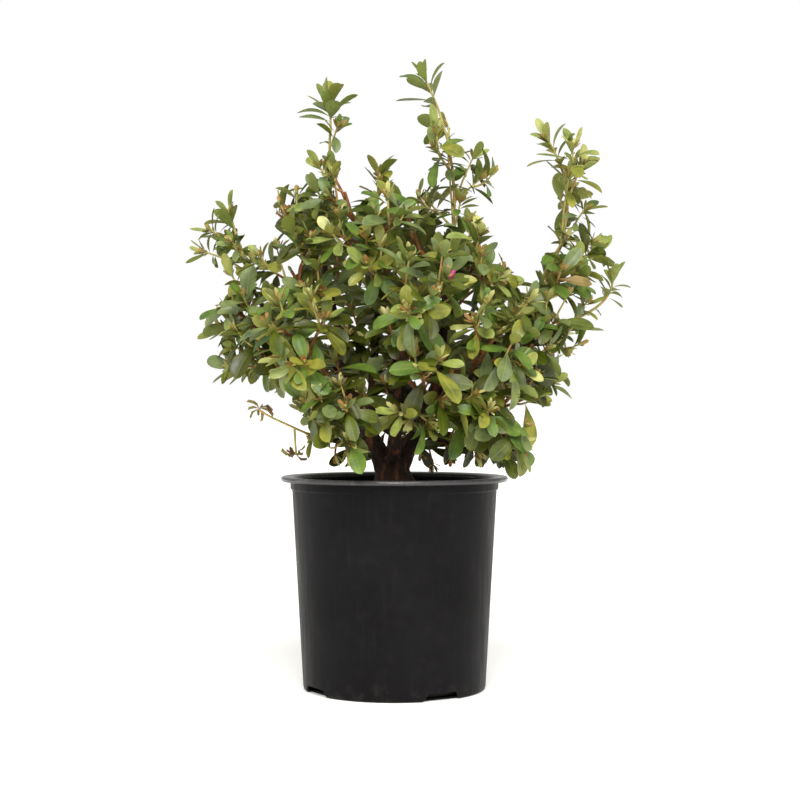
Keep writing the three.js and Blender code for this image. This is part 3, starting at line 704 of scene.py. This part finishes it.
def grow_withered_tip(crown, curve, random):
    """A bare twig that ends in a tuft of dry curled leaves."""
    scattered = scatterer(random)
    for i in range(WITHERED_COUNT):
        length = scattered(*WITHERED_LENGTH)
        place = frame_at(curve, 1 - i * WITHERED_SPACING)
        crown.add_small_leaf(WITHERED_LEAF, place, GOLDEN_ANGLE * i, length, scattered)


def grow_leafy(crown, wood, curve, radii, spray, random, scale=1):
    """A stem, twig or shoot with a whorl at its tip."""
    crown.twigs[wood].append(Limb(curve, radii))
    grow_spray(crown, curve, spray, random, scale)


def grow_mass(crown, mass):
    """A mass inside the crown: its stem, its side twigs and their shoots, each with a whorl at its tip."""
    random = seeded_random(mass.seed + MASS_LEAF_SEED)
    grow_leafy(crown, "woody", mass.stem, STEM_RADII, STEM_SPRAY, random)
    for twig in grow_twigs(mass):
        grow_leafy(crown, "woody", twig, TWIG_RADII, TWIG_SPRAY, random)
        for shoot in grow_shoots(twig, SHOOTS_PER_TWIG, SHOOT_LENGTHS, random):
            grow_leafy(crown, "young", shoot, SHOOT_RADII, SHOOT_SPRAY, random)


def grow_wand(crown, mass):
    """A slender young stem with upright leaves at its tip and smaller ones apart below, or a withered one."""
    _, tip_scale, scale, seed = WANDS[mass.name]
    random = seeded_random(seed)
    if mass.name == WITHERED_WAND:
        share, fork_tip = WITHERED_FORK
        start = bezier(mass.stem, share)
        fork = (start, start - UP * SHOOT_ARCH, np.array(fork_tip, float))
        for curve in (mass.stem, fork):
            crown.twigs["young"].append(Limb(curve, WITHERED_RADII))
            grow_withered_tip(crown, curve, random)
        return
    grow_leafy(crown, "young", mass.stem, WAND_RADII, WAND_SPRAY, random, tip_scale)
    for twig in grow_twigs(mass):
        grow_leafy(crown, "young", twig, SHOOT_RADII, WAND_TWIG_SPRAY, random, scale)
        if mass.reach > BIG_WAND_REACH:
            for shoot in grow_shoots(twig, SHOOTS_PER_WAND_TWIG, SHOOT_LENGTHS, random):
                grow_leafy(crown, "young", shoot, SHOOT_RADII, WAND_TWIG_SPRAY, random, scale)


def grow_placed_shoots(crown, curves, shoots, wood, spray, seed):
    """Small leafy shoots from a place on a limb to a given tip."""
    for index, (on, at, tip) in enumerate(shoots):
        start = bezier(curves[on], at)
        tip = np.array(tip, float)
        shoot = (start, (start + tip) / 2 + UP * SHOOT_ARCH, tip)
        grow_leafy(crown, wood, shoot, SHOOT_RADII, spray, seeded_random(seed + index))


def grow_bough_shoots(crown, limbs):
    """Short leafy shoots along the boughs, which fill the inside of the crown."""
    for index, limb in enumerate(limbs.values()):
        if limb.radii[0] < LEAFY_BOUGH_RADIUS:
            continue
        random = seeded_random(index + BOUGH_SHOOT_SEED)
        for shoot in grow_shoots(limb.curve, SHOOTS_PER_BOUGH, BOUGH_SHOOT_LENGTHS, random):
            grow_leafy(crown, "woody", shoot, SHOOT_RADII, SHOOT_SPRAY, random)


def linear(code):
    """A colour given as #rrggbb, as Blender's linear red, green, blue and alpha."""
    shares = [int(code[i:i + 2], 16) / 255 for i in (1, 3, 5)]
    return (*(s / 12.92 if s <= 0.04045 else ((s + 0.055) / 1.055) ** 2.4 for s in shares), 1)


def put(tree, socket, value):
    """Links a socket to another, or gives it a value, or a colour written as #rrggbb."""
    if isinstance(value, bpy.types.NodeSocket):
        tree.links.new(value, socket)
    else:
        socket.default_value = linear(value) if isinstance(value, str) else value


def add(tree, kind, options=None, inputs=None):
    node = tree.nodes.new("ShaderNode" + kind)
    for option, value in (options or {}).items():
        setattr(node, option, value)
    for socket, value in (inputs or {}).items():
        put(tree, node.inputs[socket], value)
    return node


def maths(tree, operation, *values):
    return add(tree, "Math", {"operation": operation}, dict(enumerate(values))).outputs[0]


def blend(tree, factor, first, second):
    return add(tree, "Mix", {"data_type": "RGBA"}, {0: factor, 6: first, 7: second}).outputs[2]


def ramp(tree, value, low, high, bottom=0.0, top=1.0):
    """Where a value lies from low to high, carried smoothly to the range from bottom to top."""
    inputs = {0: value, 1: low, 2: high, 3: bottom, 4: top}
    return add(tree, "MapRange", {"interpolation_type": "SMOOTHSTEP"}, inputs).outputs[0]


def object_coordinates(tree, stretch=(1, 1, 1)):
    coordinates = add(tree, "TexCoord").outputs["Object"]
    return add(tree, "Mapping", None, {"Vector": coordinates, "Scale": stretch}).outputs[0]


def grain(tree, scale, detail=3.0, stretch=(1, 1, 1)):
    inputs = {"Vector": object_coordinates(tree, stretch), "Scale": scale, "Detail": detail}
    return add(tree, "TexNoise", None, inputs).outputs[0]


def height_of(tree):
    return add(tree, "SeparateXYZ", None, {0: object_coordinates(tree)}).outputs[2]


def placed(tree, group, **inputs):
    """The outputs of a shared node group, placed in this tree with its own values."""
    return add(tree, "Group", {"node_tree": bpy.data.node_groups[group]}, inputs).outputs


def new_group(name, inputs, outputs):
    tree = bpy.data.node_groups.new(name, "ShaderNodeTree")
    for side, sockets in (("INPUT", inputs), ("OUTPUT", outputs)):
        for socket, kind in sockets.items():
            tree.interface.new_socket(name=socket, in_out=side, socket_type="NodeSocket" + kind)
    given = tree.nodes.new("NodeGroupInput").outputs
    result = tree.nodes.new("NodeGroupOutput").inputs
    return tree, given, result


def make_uneven_colour():
    """A colour that grows lighter, darker and a little yellower from place to place."""
    inputs = {"Color": "Color", "Scale": "Float", "Spread": "Float"}
    tree, given, result = new_group("uneven_colour", inputs, {"Color": "Color"})
    spots = grain(tree, given["Scale"], 4.0)
    centred = maths(tree, "SUBTRACT", spots, 0.5)
    value = maths(tree, "MULTIPLY_ADD", maths(tree, "MULTIPLY", centred, given["Spread"]), 2.0, 1.0)
    hue = maths(tree, "MULTIPLY_ADD", centred, -0.08, 0.5)
    shifted = add(tree, "HueSaturation", None, {"Hue": hue, "Value": value, "Color": given["Color"]})
    put(tree, result["Color"], shifted.outputs[0])


def make_leaf_surface():
    """A leaf's blade, midrib, side veins, stalk and duller underside, drawn along and across its own map."""
    inputs = {"Blade": "Color", "Rib": "Color"}
    outputs = {"Color": "Color", "Roughness": "Float", "Height": "Float"}
    tree, given, result = new_group("leaf_surface", inputs, outputs)
    leaf_map = add(tree, "UVMap", {"uv_map": "leaf"}).outputs[0]
    along, across, _ = add(tree, "SeparateXYZ", None, {0: leaf_map}).outputs
    underside = maths(tree, "GREATER_THAN", across, 1.0)
    level = maths(tree, "SUBTRACT", across, underside)
    edge = maths(tree, "ABSOLUTE", maths(tree, "MULTIPLY_ADD", level, 2.0, -1.0))
    rib = ramp(tree, edge, 0.01, 0.09, 1.0, 0.0)
    swept = maths(tree, "MULTIPLY_ADD", edge, -1.3, maths(tree, "MULTIPLY", along, 9.0))
    vein = ramp(tree, maths(tree, "SINE", maths(tree, "MULTIPLY", swept, math.tau)), 0.75, 1.0)
    stalk = ramp(tree, along, 0.04, 0.17, 1.0, 0.0)

    colour = placed(tree, "uneven_colour", Color=given["Blade"], Scale=72, Spread=1.0)[0]
    for mask, strength, over in ((vein, 0.1, given["Rib"]), (rib, 0.4, given["Rib"]),
                                 (stalk, 0.8, "#946a40"), (underside, 0.38, "#959c48")):
        colour = blend(tree, maths(tree, "MULTIPLY", mask, strength), colour, over)
    put(tree, result["Color"], colour)
    waxy = ramp(tree, grain(tree, 120, 2.0), 0.3, 0.7, 0.34, 0.5)
    put(tree, result["Roughness"], maths(tree, "MULTIPLY_ADD", underside, 0.2, waxy))
    furrows = maths(tree, "MULTIPLY_ADD", rib, -1.0, maths(tree, "MULTIPLY", vein, -0.5))
    put(tree, result["Height"], furrows)


def new_material(name, constants):
    material = bpy.data.materials.new(name)
    material.use_nodes = True
    surface = material.node_tree.nodes["Principled BSDF"]
    for socket, value in constants.items():
        surface.inputs[socket].default_value = value
    return material, material.node_tree, surface.inputs


def bump(tree, height, strength, distance):
    """A normal for relief of this height, in millimetres."""
    inputs = {"Strength": strength, "Distance": distance * MM, "Height": height}
    return add(tree, "Bump", None, inputs).outputs[0]


def leaf_material(name, blade, rib):
    material, tree, surface = new_material(name, {"Specular IOR Level": 0.48})
    looks = placed(tree, "leaf_surface", Blade=blade, Rib=rib)
    put(tree, surface["Base Color"], looks["Color"])
    put(tree, surface["Roughness"], looks["Roughness"])
    put(tree, surface["Normal"], bump(tree, looks["Height"], 0.6, 0.14))
    return material


def wood_material(name, colour, streak, relief, roughness):
    """Bark or rind: an uneven colour, streaks of another, and fine cracks."""
    material, tree, surface = new_material(name, {"Roughness": roughness, "Specular IOR Level": 0.3})
    base = placed(tree, "uneven_colour", Color=colour, Scale=90, Spread=1.0)[0]
    streaks = ramp(tree, grain(tree, 150, 4.0, (1, 1, 0.3)), 0.5, 0.68)
    put(tree, surface["Base Color"], blend(tree, streaks, base, streak))
    inputs = {"Vector": object_coordinates(tree), "Scale": 260}
    cracks = add(tree, "TexVoronoi", {"feature": "DISTANCE_TO_EDGE"}, inputs)
    plates = ramp(tree, cracks.outputs[0], 0, 0.25)
    height = maths(tree, "MULTIPLY_ADD", plates, 0.6, grain(tree, 600))
    put(tree, surface["Normal"], bump(tree, height, 0.8, relief))
    return material


def plastic_material():
    """Black moulded plastic with upright rub marks, a fine grain, a lip made lighter by scuffs and a painted
    highlight, and some dust at its foot.
    """
    material, tree, surface = new_material("pot_plastic", {"Specular IOR Level": 0.06})
    height = height_of(tree)
    rubs = grain(tree, 260, 5.0, (1, 1, 0.05))
    specks = ramp(tree, grain(tree, 90, 6.0), 0.45, 0.8)
    low = ramp(tree, height, 0.0, DUST_REACH, 0.12, 0.015)
    lip = ramp(tree, height, *LIP_SCUFF_AND_HIGHLIGHT)
    marks = ramp(tree, rubs, 0.5, 0.85, 0.0, 0.03)
    # Painted highlight: the lip's lighter grey is partly scuffs and partly a painted highlight.
    scuffs_and_painted_highlight = maths(tree, "MULTIPLY", lip, ramp(tree, specks, 0.0, 1.0, 0.28, 0.5))
    dust = maths(tree, "MULTIPLY", specks, low)
    colour = placed(tree, "uneven_colour", Color="#131214", Scale=14, Spread=0.6)[0]
    for mask, over in ((marks, "#5a5a5e"), (scuffs_and_painted_highlight, "#747275"), (dust, "#6d6659")):
        colour = blend(tree, mask, colour, over)
    put(tree, surface["Base Color"], colour)
    sheen = ramp(tree, rubs, 0.3, 0.7, 0.36, 0.5)
    put(tree, surface["Roughness"], maths(tree, "MULTIPLY_ADD", lip, -0.2, sheen))
    put(tree, surface["Coat Weight"], maths(tree, "MULTIPLY", lip, 0.5))
    put(tree, surface["Normal"], bump(tree, grain(tree, 1500, 2.0), 0.35, 0.12))
    return material


def soil_material(name, colour):
    """Crumbly potting mix, made near black at the foot of the pot by painted shade."""
    material, tree, surface = new_material(name, {"Roughness": 0.95, "Specular IOR Level": 0.2})
    base = placed(tree, "uneven_colour", Color=colour, Scale=160, Spread=1.2)[0]
    # Painted shade: the mix darkens to near black towards the bottom, inside the pot's foot.
    painted_shade = ramp(tree, height_of(tree), *PAINTED_SHADE_FADE, 0.9, 0.0)
    put(tree, surface["Base Color"], blend(tree, painted_shade, base, "#0c0908"))
    put(tree, surface["Normal"], bump(tree, grain(tree, 700, 5.0), 1.0, 0.8))
    return material


def bud_material(name, colour, patch_colour):
    """A bud's closed scales: patches of another tone over an uneven colour, and a fine relief."""
    material, tree, surface = new_material(name, {"Roughness": 0.45})
    base = placed(tree, "uneven_colour", Color=colour, Scale=300, Spread=0.6)[0]
    patches = ramp(tree, grain(tree, 350, 2.0), 0.48, 0.7)
    put(tree, surface["Base Color"], blend(tree, patches, base, patch_colour))
    put(tree, surface["Normal"], bump(tree, grain(tree, 900), 0.6, 0.3))
    return material


def new_object(name, data, material=None):
    piece = bpy.data.objects.new(name, data)
    bpy.context.scene.collection.objects.link(piece)
    if material:
        data.materials.append(material)
    return piece


def object_from(name, bm, material=None):
    mesh = bpy.data.meshes.new(name)
    bm.to_mesh(mesh)
    bm.free()
    return new_object(name, mesh, material)


def shown_mesh(piece):
    """A mesh of what a curve or an object with modifiers shows."""
    return bpy.data.meshes.new_from_object(piece.evaluated_get(bpy.context.evaluated_depsgraph_get()))


def bake_modifiers(piece):
    """Makes what the modifiers show the piece's own mesh."""
    mesh = shown_mesh(piece)
    piece.modifiers.clear()
    piece.data = mesh


def smooth_up_to(mesh, angle):
    mesh.shade_smooth()
    mesh.set_sharp_from_angle(angle=math.radians(angle))


def finish_piece(piece, nodes=()):
    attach(piece, "root")
    if nodes:
        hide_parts(*nodes)


def sweep(bm, sides, rings, place):
    """Adds a closed skin: a grid carried to place(share along, bearing), its seam merged, its ends filled."""
    grid = bmesh.ops.create_grid(bm, x_segments=rings, y_segments=sides, size=1)["verts"]
    for vertex in grid:
        vertex.co = Vector(place((vertex.co.x + 1) / 2, (vertex.co.y + 1) * math.pi)) * MM
    bmesh.ops.remove_doubles(bm, verts=grid, dist=1e-3 * MM)
    left = [vertex for vertex in grid if vertex.is_valid]
    open_edges = {edge for vertex in left for edge in vertex.link_edges if edge.is_boundary}
    if open_edges:
        bmesh.ops.holes_fill(bm, edges=list(open_edges), sides=sides)


def bark_relief(bearing, distance, seed):
    """Long ridges that run along a limb and short flakes on them, from about -1 to 1."""
    x = math.cos(bearing) * BARK_RIDGES
    y = math.sin(bearing) * BARK_RIDGES
    ridge = noise.noise(Vector((x, y, distance / RIDGE_LENGTH + seed)))
    flake = noise.noise(Vector((x * 2, y * 2, distance / FLAKE_LENGTH - seed)))
    return ridge + FLAKE_SHARE * flake


def add_trunk(bm):
    """Round at its fork, with root lobes at its foot, and ridges all over."""
    bottom = TRUNK_FOOT - TRUNK_BURIED

    def place(share, bearing):
        height = lerp(bottom, TRUNK_TOP + TRUNK_BURIED, share)
        rise = np.clip((height - TRUNK_FOOT) / (TRUNK_TOP - TRUNK_FOOT), 0, 1)
        spread = (1 - rise) ** FLARE_POWER
        lobe = LOBE_DEPTH * spread * math.cos(FLARE_LOBES * bearing + LOBE_PHASE)
        radius = lerp(TRUNK_RADIUS, FLARE_RADIUS, spread) + lobe
        radius *= 1 - TRUNK_TOP_ROUNDING * max(0, (height - TRUNK_TOP) / TRUNK_BURIED) ** 2
        radius += TRUNK_RELIEF * bark_relief(bearing, height, 0)
        return (math.cos(bearing) * radius + TRUNK_LEAN * rise, -math.sin(bearing) * radius, height)

    sweep(bm, TRUNK_SIDES, TRUNK_RINGS, place)


def add_limb(bm, limb, seed):
    """A bough with a swollen collar where it springs, a slight sway, and ridges along it."""
    length = curve_length(limb.curve)

    def place(share, bearing):
        at = frame_at(limb.curve, share)
        sway = BOUGH_SWAY * math.sin(math.pi * share)
        shift = sway * noise.noise_vector(Vector((seed * SWAY_SEED_STEP, share * length / SWAY_LENGTH, 0)))
        radius = lerp(*limb.radii, share) * (1 + COLLAR_SWELL * max(0, 1 - share * COLLAR_STEEPNESS) ** 2)
        radius *= 1 + RELIEF_SHARE * bark_relief(bearing, share * length, seed)
        across = at.normal * math.cos(bearing) + at.binormal * math.sin(bearing)
        return at.point + across * radius + np.array(shift)

    sweep(bm, BARK_SIDES, int(length / BARK_RING), place)


def make_bark(limbs, material):
    """Trunk and boughs, fused to one skin."""
    bm = bmesh.new()
    add_trunk(bm)
    for seed, limb in enumerate(limbs.values(), 1):
        add_limb(bm, limb, seed)
    bmesh.ops.recalc_face_normals(bm, faces=bm.faces)
    piece = object_from("bark", bm, material)
    fuse = piece.modifiers.new("fuse", "REMESH")
    fuse.mode = "VOXEL"
    fuse.voxel_size = BARK_VOXEL * MM
    bake_modifiers(piece)
    piece.data.shade_smooth()
    finish_piece(piece, ["trunk", *limbs])


def make_twigs(name, twigs, material, nodes):
    """Twigs as tapering tubes that sway a little, joined."""
    data = bpy.data.curves.new(name, "CURVE")
    data.dimensions = "3D"
    data.bevel_depth = 1
    data.bevel_resolution = 1
    data.use_fill_caps = True
    for seed, twig in enumerate(twigs):
        steps = max(4, int(curve_length(twig.curve) / TWIG_STEP))
        spline = data.splines.new("POLY")
        spline.points.add(steps)
        for i, knot in enumerate(spline.points):
            share = i / steps
            sway = TWIG_SWAY * math.sin(math.pi * share)
            at = Vector((seed * TWIG_SWAY_SEED_STEP, share * steps / 3, 1))
            shift = np.array(noise.noise_vector(at)) * sway
            knot.co = (*((bezier(twig.curve, share) + shift) * MM), 1)
            knot.radius = lerp(*twig.radii, share) * MM
    tubes = new_object(name + "_tubes", data)
    mesh = shown_mesh(tubes)
    mesh.name = name
    bpy.data.objects.remove(tubes)
    mesh.materials.clear()
    smooth_up_to(mesh, TWIG_SMOOTH_ANGLE)
    finish_piece(new_object(name, mesh, material), nodes)


def template_of(bm, uv_of=None):
    """A small closed mesh as arrays: its points, its faces' corners, where each face starts, and its map."""
    bmesh.ops.recalc_face_normals(bm, faces=bm.faces)
    bm.verts.index_update()
    faces = [[vertex.index for vertex in face.verts] for face in bm.faces]
    uv = [uv_of(face, vertex) for face in bm.faces for vertex in face.verts] if uv_of else None
    points = np.array([vertex.co[:] for vertex in bm.verts])
    starts = np.cumsum([0] + [len(face) for face in faces[:-1]])
    bm.free()
    return Template(points, np.concatenate(faces), starts, uv and np.array(uv))


def leaf_template(rows):
    """A flat leaf: x is the share along it, y across it in half widths, z up from its face in body depths.

    Its upper side has a groove between two full halves. Its lower side is keeled and shares the outline.
    """
    bm = bmesh.new()
    last = len(rows) - 1
    for lower, columns in ((False, 4), (True, 2)):
        for vertex in bmesh.ops.create_grid(bm, x_segments=last, y_segments=columns, size=1)["verts"]:
            row = round((vertex.co.x + 1) / 2 * last)
            edge = vertex.co.y
            full = np.interp(rows[row], LEAF_ROWS, LEAF_OUTLINE)
            depth = abs(edge) - 1 if lower else 1 - abs(2 * abs(edge) - 1)
            vertex.co = (rows[row], edge * full, depth * full)
    bmesh.ops.remove_doubles(bm, verts=bm.verts, dist=1e-5)

    def uv_of(face, vertex):
        underside = face.normal.z < 0
        return (vertex.co.x, 0.5 + vertex.co.y / 2 + underside)

    return template_of(bm, uv_of)


def leaf_points(leaves, template):
    """Each leaf's points: the template arched along its length, folded at its midrib, and twisted."""
    columns = (np.array(column)[:, None] for column in zip(*leaves))
    root, direction, face, length, width, curl, fold, twist = columns
    along, across, depth = template.points.T
    curl = np.where(np.abs(curl) < 0.01, 0.01, curl)
    arch = curl * along
    out = (length * np.sin(arch) / curl)[..., None]
    down = (length * (1 - np.cos(arch)) / curl)[..., None]
    normal = direction * np.sin(arch)[..., None] + face * np.cos(arch)[..., None]
    side = np.cross(face, direction)
    turn = (twist * along)[..., None]
    turned_side = side * np.cos(turn) + normal * np.sin(turn)
    turned_normal = normal * np.cos(turn) - side * np.sin(turn)
    half = width / 2 * across
    lift = np.abs(half) * np.sin(fold) + depth * width * LEAF_BODY
    centre = root + direction * out - face * down
    return centre + turned_side * (half * np.cos(fold))[..., None] + turned_normal * lift[..., None]


def copies_mesh(name, template, points):
    """One mesh of many copies of a template, from each copy's points."""
    copies, size = points.shape[:2]
    order = np.arange(copies)[:, None]
    corners = (template.corners + size * order).ravel()
    starts = (template.starts + len(template.corners) * order).ravel()
    mesh = bpy.data.meshes.new(name)
    mesh.vertices.add(copies * size)
    mesh.vertices.foreach_set("co", (points * MM).astype(np.float32).ravel())
    mesh.loops.add(len(corners))
    mesh.loops.foreach_set("vertex_index", corners.astype(np.int32))
    mesh.polygons.add(len(starts))
    mesh.polygons.foreach_set("loop_start", starts.astype(np.int32))
    mesh.update(calc_edges=True)
    if template.uv is not None:
        layer = mesh.uv_layers.new(name="leaf")
        layer.uv.foreach_set("vector", np.tile(template.uv, (copies, 1)).astype(np.float32).ravel())
    mesh.validate()
    return mesh


def make_leaves(crown):
    large = leaf_template(LEAF_ROWS)
    small = leaf_template(SMALL_LEAF_ROWS)
    for tone, (blade, rib) in TONES.items():
        name = "leaves_" + tone
        template = large if tone in BLADE_TONES else small
        mesh = copies_mesh(name, template, leaf_points(crown.leaves[tone], template))
        smooth_up_to(mesh, LEAF_SMOOTH_ANGLE)
        material = leaf_material("leaf_" + tone, blade, rib)
        finish_piece(new_object(name, mesh, material))


def bud_template():
    """A bud of unit length and radius along z, from its foot at 0 to its drawn-out tip at 1."""
    bm = bmesh.new()
    for vertex in bmesh.ops.create_uvsphere(bm, u_segments=8, v_segments=6, radius=1)["verts"]:
        share = (vertex.co.z + 1) / 2
        narrow = 1 - BUD_TAPER * share
        vertex.co = (vertex.co.x * narrow, vertex.co.y * narrow, share)
    return template_of(bm)


def make_buds(name, buds, material):
    template = bud_template()
    x, y, z = template.points.T[:, :, None]
    points = np.array([
        at.point + at.along * (z * length) + at.binormal * (x * radius) + at.normal * (y * radius)
        for at, length, radius in buds
    ])
    mesh = copies_mesh(name, template, points)
    mesh.shade_smooth()
    finish_piece(new_object(name, mesh, material))


def make_pot(material):
    """The profile spun to a shell, its corners rounded, and the drain notches cut out of its foot."""
    bm = bmesh.new()
    chain = [bm.verts.new((radius * MM, 0, height * MM)) for radius, height in POT_PROFILE]
    edges = [bm.edges.new(pair) for pair in zip(chain, chain[1:])]
    bmesh.ops.spin(bm, geom=chain + edges, cent=(0, 0, 0), axis=(0, 0, 1), dvec=(0, 0, 0), angle=math.tau,
                   steps=POT_STEPS, use_merge=True)
    bmesh.ops.remove_doubles(bm, verts=bm.verts, dist=0.01 * MM)
    bmesh.ops.recalc_face_normals(bm, faces=bm.faces)
    corners = [edge for edge in bm.edges if edge.calc_face_angle(0) > math.radians(POT_EDGE_ANGLE)]
    bmesh.ops.bevel(bm, geom=corners, offset=POT_ROUNDING * MM, offset_type="OFFSET", affect="EDGES",
                    segments=2, profile=0.5, material=-1)
    piece = object_from("pot_shell", bm, material)
    blocks = object_from("drain_blocks", drain_blocks())
    cut = piece.modifiers.new("drain", "BOOLEAN")
    cut.operation = "DIFFERENCE"
    cut.solver = "EXACT"
    cut.object = blocks
    bake_modifiers(piece)
    bpy.data.objects.remove(blocks)
    smooth_up_to(piece.data, POT_SMOOTH_ANGLE)
    finish_piece(piece, ["pot"])


def drain_blocks():
    """Sloping-sided blocks that take the corner of wall and base away."""
    bm = bmesh.new()
    depth = RIM_RADIUS - DRAIN_INNER_RADIUS
    for bearing in DRAIN_BEARINGS:
        turn = Matrix.Rotation(math.radians(bearing), 4, "Z")
        for vertex in bmesh.ops.create_cube(bm, size=1)["verts"]:
            top = vertex.co.z > 0
            half = DRAIN_WIDTH / 2 - (DRAIN_HEIGHT * DRAIN_SLOPE if top else 0)
            height = DRAIN_HEIGHT if top else -1
            out = DRAIN_INNER_RADIUS + depth * (0.5 - vertex.co.y)
            vertex.co = turn @ Vector((2 * vertex.co.x * half, -out, height)) * MM
    return bm


def soil_height(x, y):
    """The lumps of the potting mix at a place, gone where the trunk stands."""
    clear = min(1, max(0, (math.hypot(x, y) - FLARE_RADIUS) / LEVEL_ROUND_TRUNK))
    lumps = noise.noise(Vector((x / LUMP_WIDTH, y / LUMP_WIDTH, 3)))
    crumbs = noise.noise(Vector((x / CRUMB_WIDTH, y / CRUMB_WIDTH, 8)))
    return (lumps + CRUMB_SHARE * crumbs) * SOIL_LUMP * clear


def make_potting_mix(material):
    def place(share, bearing):
        radius = np.interp(share, SOIL_SHARES, SOIL_RADII)
        x = math.cos(bearing) * radius
        y = math.sin(bearing) * radius
        height = np.interp(share, SOIL_SHARES, SOIL_HEIGHTS)
        return (x, y, height + (soil_height(x, y) if share < SOIL_SHARES[2] else 0))

    bm = bmesh.new()
    sweep(bm, SOIL_SIDES, SOIL_RINGS, place)
    bmesh.ops.recalc_face_normals(bm, faces=bm.faces)
    piece = object_from("potting_mix_fill", bm, material)
    piece.data.shade_smooth()
    finish_piece(piece, ["potting_mix"])


def make_chips(material):
    """Crumbs and chips of bark, strewn over the potting mix."""
    bm = bmesh.new()
    bmesh.ops.create_icosphere(bm, subdivisions=1, radius=0.5)
    template = template_of(bm)
    random = np.random.default_rng(CHIP_SEED)
    points = []
    for _ in range(CHIP_COUNT):
        out = lerp(*CHIP_REACH, math.sqrt(random.random()))
        bearing = random.random() * math.tau
        x, y = out * math.cos(bearing), out * math.sin(bearing)
        top = np.interp(out, SOIL_RADII[:3], SOIL_HEIGHTS[:3]) + soil_height(x, y)
        size = lerp(*CHIP_SIZES, random.random() ** 3)
        turn = np.array(Euler(random.random(3) * (CHIP_TILT, CHIP_TILT, math.tau)).to_matrix())
        width = CHIP_WIDTH + CHIP_WIDTH_SPREAD * random.random()
        shape = template.points * size * (1, width, CHIP_THICKNESS)
        points.append(shape @ turn.T + (x, y, top + CHIP_LIFT * size))
    mesh = copies_mesh("bark_chips", template, np.array(points))
    finish_piece(new_object("bark_chips", mesh, material))


def make_floor():
    bm = bmesh.new()
    bmesh.ops.create_circle(bm, cap_ends=True, radius=FLOOR_RADIUS, segments=96)
    constants = {"Roughness": 0.9, "Specular IOR Level": 0.1, "Emission Strength": FLOOR_GLOW}
    material, tree, surface = new_material("floor", constants)
    shade = ramp(tree, grain(tree, 3, 2.0), 0.3, 0.7)
    put(tree, surface["Base Color"], blend(tree, shade, "#f2f2f1", "#f6f6f5"))
    object_from("floor", bm, material)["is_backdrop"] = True


def make_camera():
    data = bpy.data.cameras.new("camera")
    data.lens = CAMERA_LENS
    data.sensor_width = SENSOR_WIDTH
    camera = new_object("camera", data)
    camera.location = CAMERA * MM
    camera.rotation_euler = (math.radians(90), 0, 0)
    bpy.context.scene.camera = camera


def make_lights():
    """A wide soft key from high in front, a strip each side of the pot, and a box in front."""
    for kind, name, strength, place, height, settings in LIGHTS:
        data = bpy.data.lights.new(name, kind)
        data.energy = strength
        for setting, value in settings.items():
            setattr(data, setting, value)
        light = new_object(name, data)
        light.location = place
        light.rotation_euler = (Vector((0, 0, height)) - Vector(place)).to_track_quat("-Z", "Y").to_euler()
        light.visible_camera = False


def make_room():
    """A pale room that lights the plant from all sides. The camera sees it as plain white."""
    world = bpy.data.worlds.new("room")
    world.use_nodes = True
    tree = world.node_tree
    room = tree.nodes["Background"]
    room.inputs["Color"].default_value = ROOM_COLOUR
    room.inputs["Strength"].default_value = ROOM_STRENGTH
    backdrop = add(tree, "Background", None, {"Color": (1, 1, 1, 1), "Strength": 1.0})
    seen = add(tree, "LightPath").outputs["Is Camera Ray"]
    mixed = add(tree, "MixShader", None, {0: seen, 1: room.outputs[0], 2: backdrop.outputs[0]})
    tree.links.new(mixed.outputs[0], tree.nodes["World Output"].inputs["Surface"])
    bpy.context.scene.world = world
    bpy.context.scene.view_settings.view_transform = "Standard"


make_camera()
make_lights()
make_room()
make_floor()

limbs = lay_out_boughs()
masses = lay_out_masses(limbs)
crown = Crown()
for mass in masses:
    if mass.wand:
        grow_wand(crown, mass)
    else:
        grow_mass(crown, mass)
grow_bough_shoots(crown, limbs)
curves = {name: limb.curve for name, limb in limbs.items()} | {mass.name: mass.stem for mass in masses}
grow_placed_shoots(crown, curves, HANGING_SHOOTS, "woody", HANGING_SPRAY, HANGING_SEED)
grow_placed_shoots(crown, curves, STAR_SHOOTS, "young", STAR_SPRAY, STAR_SEED)
front_tips = [place for place in crown.tips if place.point[1] < MAGENTA_BUD_FRONT]
nearest_tip = min(front_tips, key=lambda at: math.dist(seen_from_camera(at.point), MAGENTA_BUD_SEEN))

noise.seed_set(SWAY_SEED)
make_uneven_colour()
make_leaf_surface()
make_pot(plastic_material())
make_potting_mix(soil_material("potting_mix", "#2a1d15"))
make_chips(soil_material("chips", "#4a3222"))
make_bark(limbs, wood_material("bark", "#32241c", "#6b412b", relief=0.7, roughness=0.85))
woody = wood_material("woody_rind", "#84552f", "#a5703f", relief=0.25, roughness=0.6)
young = wood_material("young_rind", "#aba25c", "#b98a52", relief=0.12, roughness=0.5)
make_twigs("twigs_woody", crown.twigs["woody"], woody, [mass.name for mass in masses if not mass.wand])
make_twigs("twigs_young", crown.twigs["young"], young, [mass.name for mass in masses if mass.wand])
make_leaves(crown)
make_buds("buds", crown.buds, bud_material("bud", "#8d9a52", "#a8743f"))
magenta = bud_material("magenta_bud", "#94195a", "#b83a7a")
make_buds("flower_bud", [(nearest_tip, *MAGENTA_BUD_SIZE)], magenta)

boxes = {"cad": cad_box, "visual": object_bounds()}
{name: [list(corner) for corner in box] for name, box in boxes.items()}
